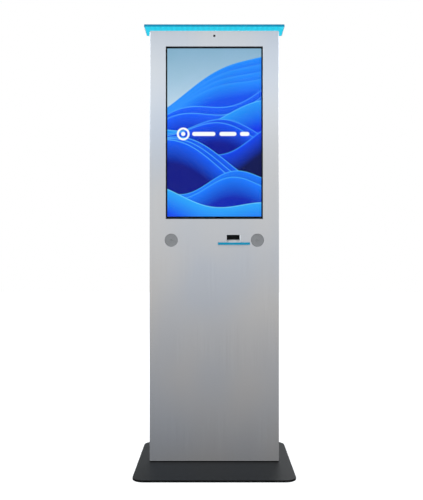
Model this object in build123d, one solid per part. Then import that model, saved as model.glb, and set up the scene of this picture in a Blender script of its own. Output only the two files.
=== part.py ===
"""Free-standing touchscreen kiosk: a slim folded-steel pillar on a flat base plate, with a cyan lit
canopy, a portrait display behind touch glass, a camera, two speakers, a ticket printer and a rear door.

Millimetres. The origin is on the floor under the middle of the base plate. +Z is up, the front faces
-Y, and +X is to the right of a person who stands in front of it.
"""

import os
from math import acos, cos, pi, radians, sin, sqrt, tan

from build123d import *

# ---------------------------------------------------------------- driving dimensions
# Pillar
BODY_W = 540.0          # outside width
BODY_H = 1794.0         # height of the front panel
BODY_D = 64.0           # front face to the rear flanges
FRONT_SHEET = 2.0       # sheet of the front panel and of the rear door
SHELL_SHEET = 1.5       # sheet of the sides, top, rails and brackets
PANEL_RETURN = 12.0     # depth of the front panel's folded edges
PANEL_BEND_R = 2.6      # outside radius of its folds
PANEL_CORNER_R = 5.0    # outside radius of its four corners
FRONT_FLANGE = 16.0     # side panel's flange behind the front panel
REAR_FLANGE = 30.0      # side panel's flange around the door opening
PANEL_GAP = 3.0         # shadow gap between the base plate and the front panel
EDGE_STUDS = 5          # weld studs along each long edge
EDGE_STUD_MARGIN = 60.0
# Base
BASE_W = 636.0
BASE_D = 518.0
BASE_T = 8.0
BASE_CORNER_R = 45.0
FOOT_T = 3.0            # foot channel's sheet
FOOT_UPSTAND = 60.0
BOLT_R = 5.0            # M10 bolts that hold the pillar on the base
BOLT_HEAD_R = 9.5
BOLT_NUT_R = 9.0
BOLT_NUT_T = 8.0
BOLT_SPACING_X = 400.0
BOLT_SPACING_Y = 21.0
BOLT_RECESS = 0.5       # bolt heads above the floor
BOLT_END = 4.0          # bolt beyond its nut
# Canopy
CANOPY_T = 9.0
CANOPY_FRONT = 52.0     # overhang in front of the front panel
CANOPY_SIDE = 18.0
CANOPY_BACK = 1.0
CANOPY_SHEET = 1.5
CANOPY_CORNER_R = 4.0
DIFFUSER_T = 3.0
LED_COUNT = 24
LED_BOARD_W = 8.0
LED_BOARD_T = 0.6
LED_SIZE = 5.0
LED_H = 1.4
# Display
ACTIVE_W = 392.9        # lit area of a 32 inch 16:9 panel stood on end
ACTIVE_H = 698.4
BORDER_X = 6.2          # black border that shows beside the lit area
BORDER_Z = 10.6
OPENING_TOP = 65.5      # top of the front panel to the top of the screen opening
OPENING_BEVEL = 0.8
GLASS_T = 4.0
GLASS_LAP = 10.0        # glass behind the edge of the opening
GASKET_T = 1.0
AIR_GAP = 1.0           # glass to the display module
GASKET_W = 8.0
LCD_T = 14.0
LCD_RIM = 9.5           # module's metal rim around the lit area
LCD_STEP = 14.0         # rim to the deeper back cover
LCD_BOARD = (24.0, 8.0, 80.0)
RAIL_H = 30.0
RAIL_D = 10.0
RAIL_LIP = 12.0
PLATE_W = 300.0         # mounting plate
PLATE_SLOTS = 6
# Camera
CAMERA_DOWN = 21.0      # below the top of the front panel
CAMERA_HOLE_R = 5.0
CAMERA_W = 34.0
CAMERA_H = 22.0
CAMERA_DEPTH = 16.0
CAMERA_EAR_W = 60.0
CAMERA_STUD_X = 24.0
EAR_T = 2.0
LENS_R = 7.0
LENS_L = 10.0
LENS_DISH_R = 12.0
# Speakers
SPEAKER_DOWN = 89.0     # below the screen opening
SPEAKER_INSET = 90.0    # from the pillar's side
SPEAKER_HOLE_R = 27.5
GRILLE_T = 1.0
GRILLE_LAP = 2.5
GRILLE_HOLE_R = 2.0
GRILLE_PITCH = 5.0
GRILLE_RINGS = 5
SPEAKER_DEPTH = 25.0
BASKET_DEPTH = 15.0
BASKET_WALL = 1.6
BASKET_FLANGE_T = 2.0
BASKET_LAP = 6.5        # flange beyond the round opening
# Ticket printer
PRINTER_TO_SPEAKER = 98.5
TICKET_W = 54.0
MOUTH_PLAY = 2.5        # each side of the ticket
MOUTH_H = 32.0
MOUTH_DOWN = 66.5       # screen opening to the top of the ticket mouth
MOUTH_DEPTH = 14.0
MOUTH_WALL = 2.0
MOUTH_FLANGE = 12.0
MOUTH_FLANGE_T = 3.0
CHUTE_H = 12.0          # how high the silver chute stands in the mouth
TRAY_W = 133.0
TRAY_T = 9.5
TRAY_OUT = 30.0
TRAY_RIM = 3.0
TRAY_DISH = 2.5
TRAY_STUD_INSET = 12.0
PRINTER_PLATE_T = 2.0
ROLL_R = 20.0
ROLL_PLAY = 0.1
SPINDLE_R = 6.0
PLATEN_R = 6.0
PLATEN_SHAFT_R = 2.5
PLATEN_SETBACK = 31.0   # front face to the platen's axis
PLATEN_UP = 14.0        # chute's top to the platen's axis
PLATEN_TO_ROLL = 57.0
MOTOR_SETBACK = 16.0    # platen's axis to the motor's, front to back
LEVER_DROP = 16.0       # platen's axis to the head's pivot, downwards and backwards
LEVER_L = 12.0
LEVER_KNOB_R = 3.5
HEAD_PIVOT_R = 3.0
HEAD_FINS = 5
GEAR_MODULE = 1.0
PLATEN_TEETH = 24
MOTOR_TEETH = 12
GEAR_W = 4.0
GEAR_PLAY = 0.8         # side plate to the gears
MOTOR_R = 10.0
MOTOR_L = 18.0
MOTOR_SHAFT_R = 1.5
# Rear door
DOOR_LAP = 10.0         # door over the edge of its opening
DOOR_GAP = 1.5          # rear flanges to the door's inside face
DOOR_CORNER_R = 4.0
DOOR_RETURN = 8.0
DOOR_RETURN_CLEAR = 4.0
DOOR_SEAL_W = 6.0
DOOR_SEAL_GAP = 0.2
KICK_H = 140.0          # top of the fixed kick panel above the base plate
KICK_TAB = 22.0
HEADER_H = 25.0         # fixed strip above the door opening
SLOT_W = 4.0
SLOT_PITCH = 8.0
FAN_SLOTS = 9
INTAKE_SLOTS = 12
INTAKE_PITCH = 12.0
INTAKE_HALF_L = 55.0
INTAKE_UP = 70.0        # door's lower edge to the first slot
INTAKE_X = 105.0
HINGE_L = 80.0
HINGE_LEAF_T = 1.2
HINGE_DOOR_LEAF = 14.0
HINGE_FRAME_LEAF = 10.0
KNUCKLE_R = 3.0
PIN_R = 1.5
LOCK_INSET = 18.0       # lock axis from the edge of the opening
LOCK_R = 9.5
LOCK_PLUG_R = 6.0
LOCK_FLANGE = 2.5
CAM_L = 30.0
CAM_W = 14.0
CAM_T = 2.0
CAM_GAP = 1.0           # cam to the flange that it locks behind
FAN_SIZE = 80.0
FAN_T = 15.0
FAN_DOWN = 105.0        # fan's centre below the top of the door
FAN_BLADES = 7
FAN_BOSS_R = 2.5
GUARD_BAR = 2.0
GUARD_T = 1.6
GUARD_STAND = 2.0       # door to the guard
# Electronics
PC_SIZE = (180.0, 30.0, 130.0)
PC_UP = 75.0            # above the middle of the screen
PC_X = 20.0
PC_PORTS = 5
PC_PORT_PITCH = 30.0
SUPPLY_SIZE = (160.0, 30.0, 98.0)
SUPPLY_DOWN = 95.0      # below the middle of the screen
SUPPLY_X = -20.0
TERMINALS = 7
TERMINAL_PITCH = 10.0
SOCKET_UP = 70.0        # inlet, switch and network socket above the base plate
INLET_CUT = (90.0 - BODY_W / 2, 28.0, 21.0)     # centre x, width and height of each cut-out
SWITCH_CUT = (145.0 - BODY_W / 2, 22.0, 28.0)
NETWORK_CUT = (200.0 - BODY_W / 2, 19.0, 17.0)
SOCKET_FLANGE_T = 2.0
ROCKER_HALF_TRAVEL = 9.0            # degrees
ROCKER_PIN_R = 1.2
MAINS_CABLE_D = 7.0
DISPLAY_CABLE_D = 5.0
# Clearances and fasteners
FIT = 0.3               # between pieces that don't touch
RUNNING = 0.05          # radial clearance of a shaft in its bore
SHAFT_HOLE = 0.25       # radial clearance of a bolt in its hole
STUD_R = 2.0            # M4
STUD_L = 9.0
NUT_R = 4.0
NUT_T = 3.2
SCREW_HEAD_R = 3.6
SCREW_HEAD_T = 2.2
SCREW_END = 3.0         # screw beyond the last sheet it holds
OVERRUN = 1.0           # how far a cutter passes the face it cuts

# ---------------------------------------------------------------- places worked out from them
plate_z = BASE_T
panel_z0 = plate_z + PANEL_GAP
panel_z1 = panel_z0 + BODY_H
front_y = -BODY_D / 2
rear_y = BODY_D / 2
panel_in_y = front_y + FRONT_SHEET
shell_y = front_y + PANEL_RETURN
half_w = BODY_W / 2
side_in_x = half_w - SHELL_SHEET
opening_w = ACTIVE_W + 2 * BORDER_X
opening_h = ACTIVE_H + 2 * BORDER_Z
opening_z1 = panel_z1 - OPENING_TOP
opening_z0 = opening_z1 - opening_h
screen_z = (opening_z0 + opening_z1) / 2
glass_y = panel_in_y + GASKET_T
glass_back_y = glass_y + GLASS_T
lcd_y = glass_back_y + AIR_GAP
rail_y = lcd_y + LCD_T
board_y = rail_y + RAIL_D               # front face of the mounting plate
board_back_y = board_y + SHELL_SHEET
rail_zs = {"upper": screen_z + ACTIVE_H / 3, "lower": screen_z - ACTIVE_H / 3}
camera_z = panel_z1 - CAMERA_DOWN
speaker_x = half_w - SPEAKER_INSET
speaker_z = opening_z0 - SPEAKER_DOWN
speaker_y = panel_in_y + GRILLE_T
speaker_stud = SPEAKER_HOLE_R + GRILLE_LAP
mouth_z1 = opening_z0 - MOUTH_DOWN
mouth_z0 = mouth_z1 - MOUTH_H
mouth_back_y = panel_in_y + MOUTH_DEPTH
mouth_half = TICKET_W / 2 + MOUTH_PLAY
printer_x = speaker_x - PRINTER_TO_SPEAKER
frame_in = mouth_half + MOUTH_WALL      # printer's centre to the inside of its side plates
frame_out = frame_in + PRINTER_PLATE_T
gear_x = printer_x + frame_out + GEAR_PLAY
platen_y = front_y + PLATEN_SETBACK
platen_z = mouth_z0 + CHUTE_H + PLATEN_UP
gear_distance = GEAR_MODULE * (PLATEN_TEETH + MOTOR_TEETH) / 2
motor_y = platen_y + MOTOR_SETBACK
motor_z = platen_z + sqrt(gear_distance**2 - MOTOR_SETBACK**2)
lever_y = platen_y + LEVER_DROP
lever_z = platen_z - LEVER_DROP
roll_y = platen_y + 4.0
roll_z = platen_z - PLATEN_TO_ROLL
frame_y1 = motor_y + MOTOR_R + 3.0
frame_z0 = roll_z - ROLL_R - 6.0
frame_z1 = motor_z + MOTOR_R + 4.0
door_edge_x = half_w - REAR_FLANGE      # edge of the door opening
door_z0 = plate_z + KICK_H - DOOR_LAP
door_z1 = panel_z1 - HEADER_H + DOOR_LAP
door_height = door_z1 - door_z0
door_y = rear_y + DOOR_GAP              # inside face of the door
door_back_y = door_y + FRONT_SHEET
door_half_w = door_edge_x + DOOR_LAP
pin_x = -(door_half_w + KNUCKLE_R + 0.5)
pin_y = rear_y + KNUCKLE_R + 0.2
hinge_zs = [door_z0 + door_height * share for share in (0.10, 0.50, 0.90)]
lock_x = door_edge_x - LOCK_INSET
lock_zs = {"lower": door_z0 + door_height * 0.2, "upper": door_z0 + door_height * 0.8}
cam_y = rear_y - SHELL_SHEET - CAM_GAP - CAM_T
fan_z = door_z1 - FAN_DOWN
fan_y = door_y - FAN_T
fan_hole = FAN_SIZE / 2 - 4.3           # fan's centre to its screws, across and up
guard_y = door_back_y + GUARD_STAND + GUARD_T / 2
socket_z = plate_z + SOCKET_UP
pc_z = screen_z + PC_UP
pc_z0 = pc_z - PC_SIZE[2] / 2
supply_z0 = screen_z - SUPPLY_DOWN - SUPPLY_SIZE[2] / 2
lcd_board_x = ACTIVE_W / 2 + LCD_RIM - LCD_STEP - LCD_BOARD[0] / 2
lcd_board_z0 = pc_z0 + 10.0


# ---------------------------------------------------------------- small helpers
def block(x0, x1, y0, y1, z0, z1):
    """A box between two corners."""
    return Pos((x0 + x1) / 2, (y0 + y1) / 2, (z0 + z1) / 2) * Box(x1 - x0, y1 - y0, z1 - z0)


def around(x, z, width, height, y0, y1):
    """A box centred on a point of the front, from y0 to y1."""
    return block(x - width / 2, x + width / 2, y0, y1, z - height / 2, z + height / 2)


def on_side(side, x_in, x_out, y0, y1, z0, z1):
    """A box between two distances from the middle, on the side that the sign gives."""
    low, high = sorted((side * x_in, side * x_out))
    return block(low, high, y0, y1, z0, z1)


def rod(axis, start, end, across, up, radius):
    """A cylinder along X, Y or Z from start to end; across and up are its other two coordinates."""
    length, middle = end - start, (start + end) / 2
    if axis == "x":
        return Pos(middle, across, up) * Rot(0, 90, 0) * Cylinder(radius, length)
    if axis == "y":
        return Pos(across, middle, up) * Rot(90, 0, 0) * Cylinder(radius, length)
    return Pos(across, up, middle) * Cylinder(radius, length)


def rounded(shape, axis, radius):
    """The shape with its edges along an axis rounded."""
    return fillet(shape.edges().filter_by(axis), radius)


def facing_rear(shape, x, y, z):
    """Turns a shape made along +Z so that its +Z points to the rear, and moves its origin to a point."""
    return Pos(x, y, z) * Rot(-90, 0, 0) * shape


def hex_nut(radius, thickness, hole_r):
    """A hexagon nut that stands on the XY plane, with its radius across the corners."""
    return extrude(RegularPolygon(radius, 6), thickness) - rod(
        "z", -OVERRUN, thickness + OVERRUN, 0, 0, hole_r
    )


def pan_screw(shank):
    """An M4 pan-head screw with a hexagon socket: its head is above the XY plane, its shank below."""
    head = rod("z", 0, SCREW_HEAD_T, 0, 0, SCREW_HEAD_R)
    head = fillet(head.edges().group_by(Axis.Z)[-1], SCREW_HEAD_T / 3)
    socket = Pos(0, 0, SCREW_HEAD_T / 2) * extrude(RegularPolygon(1.4, 6), SCREW_HEAD_T)
    return head - socket + rod("z", -shank, 0, 0, 0, STUD_R)


def screw_hole(axis, start, end, across, up):
    """A clearance hole for an M4 screw or stud that passes both faces."""
    return rod(axis, start - OVERRUN, end + OVERRUN, across, up, STUD_R + SHAFT_HOLE)


def ring(half_x, z0, z1, width, y0, y1):
    """A rectangular frame of one width, flat in XZ."""
    hole = block(
        width - half_x, half_x - width, y0 - OVERRUN, y1 + OVERRUN, z0 + width, z1 - width
    )
    return block(-half_x, half_x, y0, y1, z0, z1) - hole


def save(name, shape):
    """Writes one node, as one solid or as a group of separate ones."""
    solids = [s for item in (shape if isinstance(shape, list) else [shape]) for s in item.solids()]
    export_step(Compound(children=solids) if len(solids) > 1 else solids[0], f"parts/{name}.step")


# ---------------------------------------------------------------- places of the fasteners
def edge_stud_places():
    """Weld studs along the front panel's long edges, through the side panels' front flanges."""
    x = side_in_x - FRONT_FLANGE / 2
    first, last = panel_z0 + EDGE_STUD_MARGIN, panel_z1 - EDGE_STUD_MARGIN
    heights = [first + (last - first) * i / (EDGE_STUDS - 1) for i in range(EDGE_STUDS)]
    return [(side * x, z) for side in (-1, 1) for z in heights]


def speaker_stud_places(side):
    """Four studs round a speaker."""
    return [
        (side * speaker_x + sx * speaker_stud, speaker_z + sz * speaker_stud)
        for sx in (-1, 1) for sz in (-1, 1)
    ]


def mouth_stud_places():
    """Four studs beside the ticket mouth."""
    x = frame_in + MOUTH_FLANGE / 2
    middle = (mouth_z0 + mouth_z1) / 2
    return [(printer_x + sx * x, middle + sz * MOUTH_H / 2) for sx in (-1, 1) for sz in (-1, 1)]


def tray_stud_places():
    """Two studs that hold the ticket tray from inside."""
    return [(printer_x + sx * (TRAY_W / 2 - TRAY_STUD_INSET), mouth_z0 - TRAY_T / 2) for sx in (-1, 1)]


def camera_stud_places():
    """Two studs beside the camera."""
    return [(sx * CAMERA_STUD_X, camera_z) for sx in (-1, 1)]


def base_bolt_places():
    """Four bolts through the base plate into the foot channel."""
    return [(sx * BOLT_SPACING_X / 2, sy * BOLT_SPACING_Y / 2) for sx in (-1, 1) for sy in (-1, 1)]


def canopy_screw_places():
    """Screws that hold the canopy on the top panel."""
    return [(sx * half_w * 0.7, sy * BODY_D / 6) for sx in (-1, 1) for sy in (-1, 1)]


def kick_screw_places():
    """Screws through the side panels' rear flanges into the kick panel's tabs."""
    x = door_edge_x + REAR_FLANGE * 0.4
    return [(sx * x, plate_z + KICK_H * share) for sx in (-1, 1) for share in (0.2, 0.75)]


def lcd_screw_places():
    """Screws through the rails into the display module."""
    return [(sx * ACTIVE_W / 3, z) for sx in (-1, 1) for z in rail_zs.values()]


def board_screw_places():
    """Screws through the mounting plate into the rails' lips."""
    lip = RAIL_H / 2 + RAIL_LIP / 2
    return [
        (sx * PLATE_W * 0.45, z)
        for sx in (-1, 1) for z in (rail_zs["upper"] - lip, rail_zs["lower"] + lip)
    ]


def hinge_screw_places(x):
    """Two screws in each hinge leaf, on a line across the leaves."""
    return [(x, z + sz * HINGE_L * 0.3) for z in hinge_zs for sz in (-1, 1)]


def door_leaf_x():
    """Middle of the hinge leaves on the door."""
    return pin_x + KNUCKLE_R + 0.6 + HINGE_DOOR_LEAF / 2


def frame_leaf_x():
    """Middle of the hinge leaves on the side panel."""
    return pin_x - KNUCKLE_R - 0.6 - HINGE_FRAME_LEAF / 2


def fan_screw_places():
    """The four screws of the fan and its guard."""
    return [(sx * fan_hole, fan_z + sz * fan_hole) for sx in (-1, 1) for sz in (-1, 1)]


# ---------------------------------------------------------------- base
def foot_bolt(x, y, clearance=0.0):
    """A countersunk M10 bolt from under the base plate; with a clearance, the hole for one."""
    sink = BOLT_HEAD_R - BOLT_R
    start = 0.0 if clearance else BOLT_RECESS
    head = Pos(x, y, BOLT_RECESS + sink / 2) * Cone(BOLT_HEAD_R + clearance, BOLT_R + clearance, sink)
    top = plate_z + FOOT_T + BOLT_NUT_T + BOLT_END
    bolt = head + rod("z", BOLT_RECESS, top, x, y, BOLT_R + clearance)
    if clearance:
        bolt += rod("z", -OVERRUN, BOLT_RECESS, x, y, BOLT_HEAD_R + clearance)
    return bolt


def base_plate():
    """Flat steel plate with round corners and countersunk holes for the foot bolts."""
    plate = block(-BASE_W / 2, BASE_W / 2, -BASE_D / 2, BASE_D / 2, 0.0, plate_z)
    plate = rounded(plate, Axis.Z, BASE_CORNER_R)
    plate = fillet(plate.faces().sort_by(Axis.Z)[-1].edges(), 1.0)
    for x, y in base_bolt_places():
        plate -= foot_bolt(x, y, SHAFT_HOLE)
    return plate


def foot_channel():
    """Channel in the bottom of the pillar, with weld nuts for the foot bolts."""
    y0, y1 = shell_y + SHELL_SHEET + FIT, rear_y - 2 * SHELL_SHEET - FIT
    foot = block(-side_in_x, side_in_x, y0, y1, plate_z, plate_z + FOOT_T)
    for side in (-1, 1):
        foot += on_side(side, side_in_x - FOOT_T, side_in_x, y0, y1, plate_z, plate_z + FOOT_UPSTAND)
    for x, y in base_bolt_places():
        foot += Pos(x, y, plate_z + FOOT_T) * extrude(RegularPolygon(BOLT_NUT_R, 6), BOLT_NUT_T)
        foot -= rod("z", 0.0, plate_z + FOOT_T + BOLT_NUT_T + OVERRUN, x, y, BOLT_R + SHAFT_HOLE)
    return foot


# ---------------------------------------------------------------- pillar
def folded_shell(inset):
    """The front panel's outer shape, or with the sheet's thickness as inset, its hollow."""
    y1 = shell_y + (OVERRUN if inset else 0.0)
    shell = block(
        inset - half_w, half_w - inset, front_y + inset, y1, panel_z0 + inset, panel_z1 - inset
    )
    shell = rounded(shell, Axis.Y, PANEL_CORNER_R - inset)
    return fillet(shell.faces().sort_by(Axis.Y)[0].edges(), PANEL_BEND_R - inset)


def bevelled_opening():
    """Cutter for the screen opening: a straight hole with a chamfered front edge."""
    hole = around(0.0, screen_z, opening_w, opening_h, front_y - OVERRUN, panel_in_y + OVERRUN)
    wide = Rectangle(opening_w + 2 * OPENING_BEVEL, opening_h + 2 * OPENING_BEVEL)
    narrow = Rectangle(opening_w, opening_h)
    bevel = loft([
        Plane(origin=(0, front_y, screen_z), x_dir=(1, 0, 0), z_dir=(0, -1, 0)) * wide,
        Plane(origin=(0, front_y + OPENING_BEVEL, screen_z), x_dir=(1, 0, 0), z_dir=(0, -1, 0)) * narrow,
    ])
    return hole + bevel


def front_panel():
    """Brushed front sheet with its openings and the weld studs on its back."""
    panel = folded_shell(0.0) - folded_shell(FRONT_SHEET)
    panel -= bevelled_opening()
    y0, y1 = front_y - OVERRUN, panel_in_y + OVERRUN
    panel -= rod("y", y0, y1, 0.0, camera_z, CAMERA_HOLE_R)
    for side in (-1, 1):
        panel -= rod("y", y0, y1, side * speaker_x, speaker_z, SPEAKER_HOLE_R)
    panel -= block(printer_x - mouth_half, printer_x + mouth_half, y0, y1, mouth_z0, mouth_z1)
    for x, z in tray_stud_places():
        panel -= screw_hole("y", front_y, panel_in_y, x, z)
    root = panel_in_y - FRONT_SHEET / 2
    for x, z in edge_stud_places():
        panel += rod("y", root, shell_y + SHELL_SHEET + NUT_T + SCREW_END, x, z, STUD_R)
    short = speaker_stud_places(-1) + speaker_stud_places(1) + mouth_stud_places() + camera_stud_places()
    for x, z in short:
        panel += rod("y", root, panel_in_y + STUD_L, x, z, STUD_R)
    return panel


def panel_nuts():
    """M4 nuts on every stud of the front panel and of the ticket tray."""
    nut = hex_nut(NUT_R, NUT_T, STUD_R + 0.02)
    seats = [(x, shell_y + SHELL_SHEET, z) for x, z in edge_stud_places()]
    for side in (-1, 1):
        seats += [(x, speaker_y + BASKET_FLANGE_T, z) for x, z in speaker_stud_places(side)]
    mouth_y = panel_in_y + MOUTH_FLANGE_T + SHELL_SHEET
    seats += [(x, mouth_y, z) for x, z in mouth_stud_places()]
    seats += [(x, panel_in_y + EAR_T, z) for x, z in camera_stud_places()]
    seats += [(x, panel_in_y, z) for x, z in tray_stud_places()]
    return [facing_rear(nut, x, y, z) for x, y, z in seats]


def side_panel(side):
    """Folded side: a wall, a front flange for the panel studs and a rear flange round the door."""
    z0, z1 = plate_z, panel_z1 - SHELL_SHEET
    panel = on_side(side, side_in_x, half_w, shell_y, rear_y, z0, z1)
    panel += on_side(side, side_in_x - FRONT_FLANGE, half_w, shell_y, shell_y + SHELL_SHEET, z0, z1)
    panel += on_side(side, door_edge_x, half_w, rear_y - SHELL_SHEET, rear_y, z0, z1)
    corner = panel.edges().filter_by(Axis.Z).sort_by(lambda edge: side * edge.center().X + edge.center().Y)
    panel = fillet(corner[-1], SHELL_SHEET)
    for x, z in edge_stud_places():
        if x * side > 0:
            panel -= screw_hole("y", shell_y, shell_y + SHELL_SHEET, x, z)
    rear_holes = kick_screw_places()
    if side < 0:
        rear_holes += hinge_screw_places(frame_leaf_x())
    for x, z in rear_holes:
        if x * side > 0:
            panel -= screw_hole("y", rear_y - SHELL_SHEET, rear_y, x, z)
    return panel


def top_panel():
    """Lid of the pillar with the strip above the door and a hole for the canopy's lead."""
    z0, edge = panel_z1 - SHELL_SHEET, door_edge_x - FIT
    lid = block(-half_w, half_w, shell_y, rear_y, z0, panel_z1)
    lid += block(-edge, edge, rear_y - SHELL_SHEET, rear_y, panel_z1 - HEADER_H, panel_z1)
    for x, y in canopy_screw_places():
        lid -= screw_hole("z", z0, panel_z1, x, y)
    return lid - rod("z", z0 - OVERRUN, panel_z1 + OVERRUN, 0.0, 0.0, CANOPY_SHEET * 4)


def rear_kick_panel():
    """Fixed lower rear sheet with tabs behind the side flanges and cut-outs for the sockets."""
    edge, z1 = door_edge_x - FIT, plate_z + KICK_H
    kick = block(-edge, edge, rear_y - SHELL_SHEET, rear_y, plate_z + FIT, z1)
    z0, y0, y1 = plate_z + FOOT_T + FIT, rear_y - 2 * SHELL_SHEET, rear_y - SHELL_SHEET
    for side in (-1, 1):
        kick += on_side(side, edge - KICK_TAB / 2, edge + KICK_TAB, y0, y1, z0, z1)
    for x, width, height in (INLET_CUT, SWITCH_CUT, NETWORK_CUT):
        kick -= around(x, socket_z, width, height, y0 - OVERRUN, rear_y + OVERRUN)
    for x, z in kick_screw_places():
        kick -= rod("y", y0 - OVERRUN, rear_y + OVERRUN, x, z, STUD_R)
    return kick


def panel_screws():
    """M4 screws of the pillar: canopy, kick panel, hinges, display and mounting plate."""
    down = Rot(180, 0, 0)
    canopy = pan_screw(SHELL_SHEET + DIFFUSER_T + SCREW_END)
    screws = [Pos(x, y, panel_z1 - SHELL_SHEET) * down * canopy for x, y in canopy_screw_places()]
    long, short = pan_screw(2 * SHELL_SHEET + SCREW_END), pan_screw(SHELL_SHEET + SCREW_END)
    leaf = pan_screw(HINGE_LEAF_T + SHELL_SHEET + SCREW_END)
    screws += [facing_rear(long, x, rear_y, z) for x, z in kick_screw_places()]
    screws += [facing_rear(short, x, rail_y + SHELL_SHEET, z) for x, z in lcd_screw_places()]
    screws += [facing_rear(long, x, board_back_y, z) for x, z in board_screw_places()]
    frame_leaf = hinge_screw_places(frame_leaf_x())
    return screws + [facing_rear(leaf, x, rear_y + HINGE_LEAF_T, z) for x, z in frame_leaf]


# ---------------------------------------------------------------- canopy
def canopy_outline(inset, z0, z1):
    """A block the size of the canopy, less an inset on every side, with round corners."""
    x = half_w + CANOPY_SIDE - inset
    outline = block(-x, x, front_y - CANOPY_FRONT + inset, rear_y + CANOPY_BACK - inset, z0, z1)
    return rounded(outline, Axis.Z, CANOPY_CORNER_R - inset)


def canopy_shell():
    """Cyan steel tray, open below, with a boss for each screw."""
    top, ceiling = panel_z1 + CANOPY_T, panel_z1 + CANOPY_T - CANOPY_SHEET
    shell = canopy_outline(0.0, panel_z1, top)
    shell = fillet(shell.faces().sort_by(Axis.Z)[-1].edges(), 1.0)
    shell -= canopy_outline(CANOPY_SHEET, panel_z1 - OVERRUN, ceiling)
    for x, y in canopy_screw_places():
        shell += rod("z", panel_z1 + DIFFUSER_T, ceiling + CANOPY_SHEET / 2, x, y, 2 * STUD_R)
        shell -= rod("z", panel_z1, ceiling - CANOPY_SHEET / 2, x, y, STUD_R)
    return shell


def canopy_diffuser():
    """Acrylic sheet that closes the canopy from below and spreads its light."""
    sheet = canopy_outline(CANOPY_SHEET + FIT, panel_z1, panel_z1 + DIFFUSER_T)
    for x, y in canopy_screw_places():
        sheet -= screw_hole("z", panel_z1, panel_z1 + DIFFUSER_T, x, y)
    return sheet


def canopy_led_strip():
    """Light strip under the canopy's sheet: a thin board with its diodes, along the overhang."""
    z1, y = panel_z1 + CANOPY_T - CANOPY_SHEET, front_y - CANOPY_FRONT / 2
    board_z, reach = z1 - LED_BOARD_T, half_w - LED_SIZE
    strip = block(-reach, reach, y - LED_BOARD_W / 2, y + LED_BOARD_W / 2, board_z, z1)
    for i in range(LED_COUNT):
        x, half = reach * ((2 * i + 1) / LED_COUNT - 1), LED_SIZE / 2
        strip += block(x - half, x + half, y - half, y + half, board_z - LED_H, board_z + LED_BOARD_T / 2)
    return strip


# ---------------------------------------------------------------- display
def touch_glass():
    """Touch glass behind the opening."""
    width, height = opening_w + 2 * GLASS_LAP, opening_h + 2 * GLASS_LAP
    return rounded(around(0.0, screen_z, width, height, glass_y, glass_back_y), Axis.Y, GLASS_T)


def glass_gasket():
    """Foam strip between the front panel and the glass."""
    lap = (GLASS_LAP + GASKET_W) / 2
    return ring(opening_w / 2 + lap, opening_z0 - lap, opening_z1 + lap, GASKET_W, panel_in_y, glass_y)


def lcd_module():
    """Display module: a rim round the lit panel, a deeper back cover and a box for its electronics."""
    width, height = ACTIVE_W + 2 * LCD_RIM, ACTIVE_H + 2 * LCD_RIM
    rim = rounded(around(0.0, screen_z, width, height, lcd_y, lcd_y + LCD_T * 0.6), Axis.Y, 2.0)
    cover = around(0.0, screen_z, width - 2 * LCD_STEP, height - 2 * LCD_STEP, lcd_y, rail_y)
    board_w, board_d, board_h = LCD_BOARD
    board = around(lcd_board_x, lcd_board_z0 + board_h / 2, board_w, board_h, lcd_y, rail_y + board_d)
    module = rim + cover + board
    for x, z in lcd_screw_places():
        module -= rod("y", rail_y - SCREW_END, rail_y + OVERRUN, x, z, STUD_R)
    return module


def display_rail(z):
    """Hat-section rail across the pillar, welded to both sides."""
    x, half = side_in_x, RAIL_H / 2
    rail = block(-x, x, rail_y, rail_y + SHELL_SHEET, z - half, z + half)
    for side in (-1, 1):
        wall = sorted((z + side * (half - SHELL_SHEET), z + side * half))
        rail += block(-x, x, rail_y, board_y, *wall)
        lip = sorted((z + side * (half - SHELL_SHEET), z + side * (half + RAIL_LIP)))
        rail += block(-x, x, board_y - SHELL_SHEET, board_y, *lip)
    for sx, sz in lcd_screw_places():
        rail -= screw_hole("y", rail_y, rail_y + SHELL_SHEET, sx, sz)
    for sx, sz in board_screw_places():
        rail -= rod("y", board_y - SHELL_SHEET - OVERRUN, board_y + OVERRUN, sx, sz, STUD_R)
    return rail


def mounting_plate():
    """Plate across the rails that carries the computer and the power supply."""
    z0, z1 = rail_zs["lower"] + RAIL_H / 2, rail_zs["upper"] - RAIL_H / 2
    plate = block(-PLATE_W / 2, PLATE_W / 2, board_y, board_back_y, z0, z1)
    plate = rounded(plate, Axis.Y, 6.0)
    for x, z in board_screw_places():
        plate -= screw_hole("y", board_y, board_back_y, x, z)
    first, span = z0 + 2 * RAIL_LIP, z1 - z0 - 4 * RAIL_LIP
    for i in range(PLATE_SLOTS):
        z = first + span * (i + 0.5) / PLATE_SLOTS
        for side in (-1, 1):
            slot = around(side * PLATE_W * 0.42, z, 8.0, 28.0, board_y - OVERRUN, board_back_y + OVERRUN)
            plate -= rounded(slot, Axis.Y, 3.9)
    return plate


# ---------------------------------------------------------------- camera
def camera_housing():
    """Camera body on its mounting ears, with the bore that holds the lens."""
    body = around(0.0, camera_z, CAMERA_W, CAMERA_H, panel_in_y, panel_in_y + CAMERA_DEPTH)
    body = rounded(body, Axis.Y, 3.0)
    body += around(0.0, camera_z, CAMERA_EAR_W, CAMERA_H / 2, panel_in_y, panel_in_y + EAR_T)
    body -= rod("y", panel_in_y - OVERRUN, panel_in_y + LENS_L, 0.0, camera_z, LENS_R)
    for x, z in camera_stud_places():
        body -= screw_hole("y", panel_in_y, panel_in_y + EAR_T, x, z)
    return body


def camera_lens():
    """Lens barrel with a dished front."""
    front = panel_in_y + FIT
    dish = Pos(0.0, front + 1.2 - LENS_DISH_R, camera_z) * Sphere(LENS_DISH_R)
    return rod("y", front, panel_in_y + LENS_L, 0.0, camera_z, LENS_R) - dish


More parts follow.
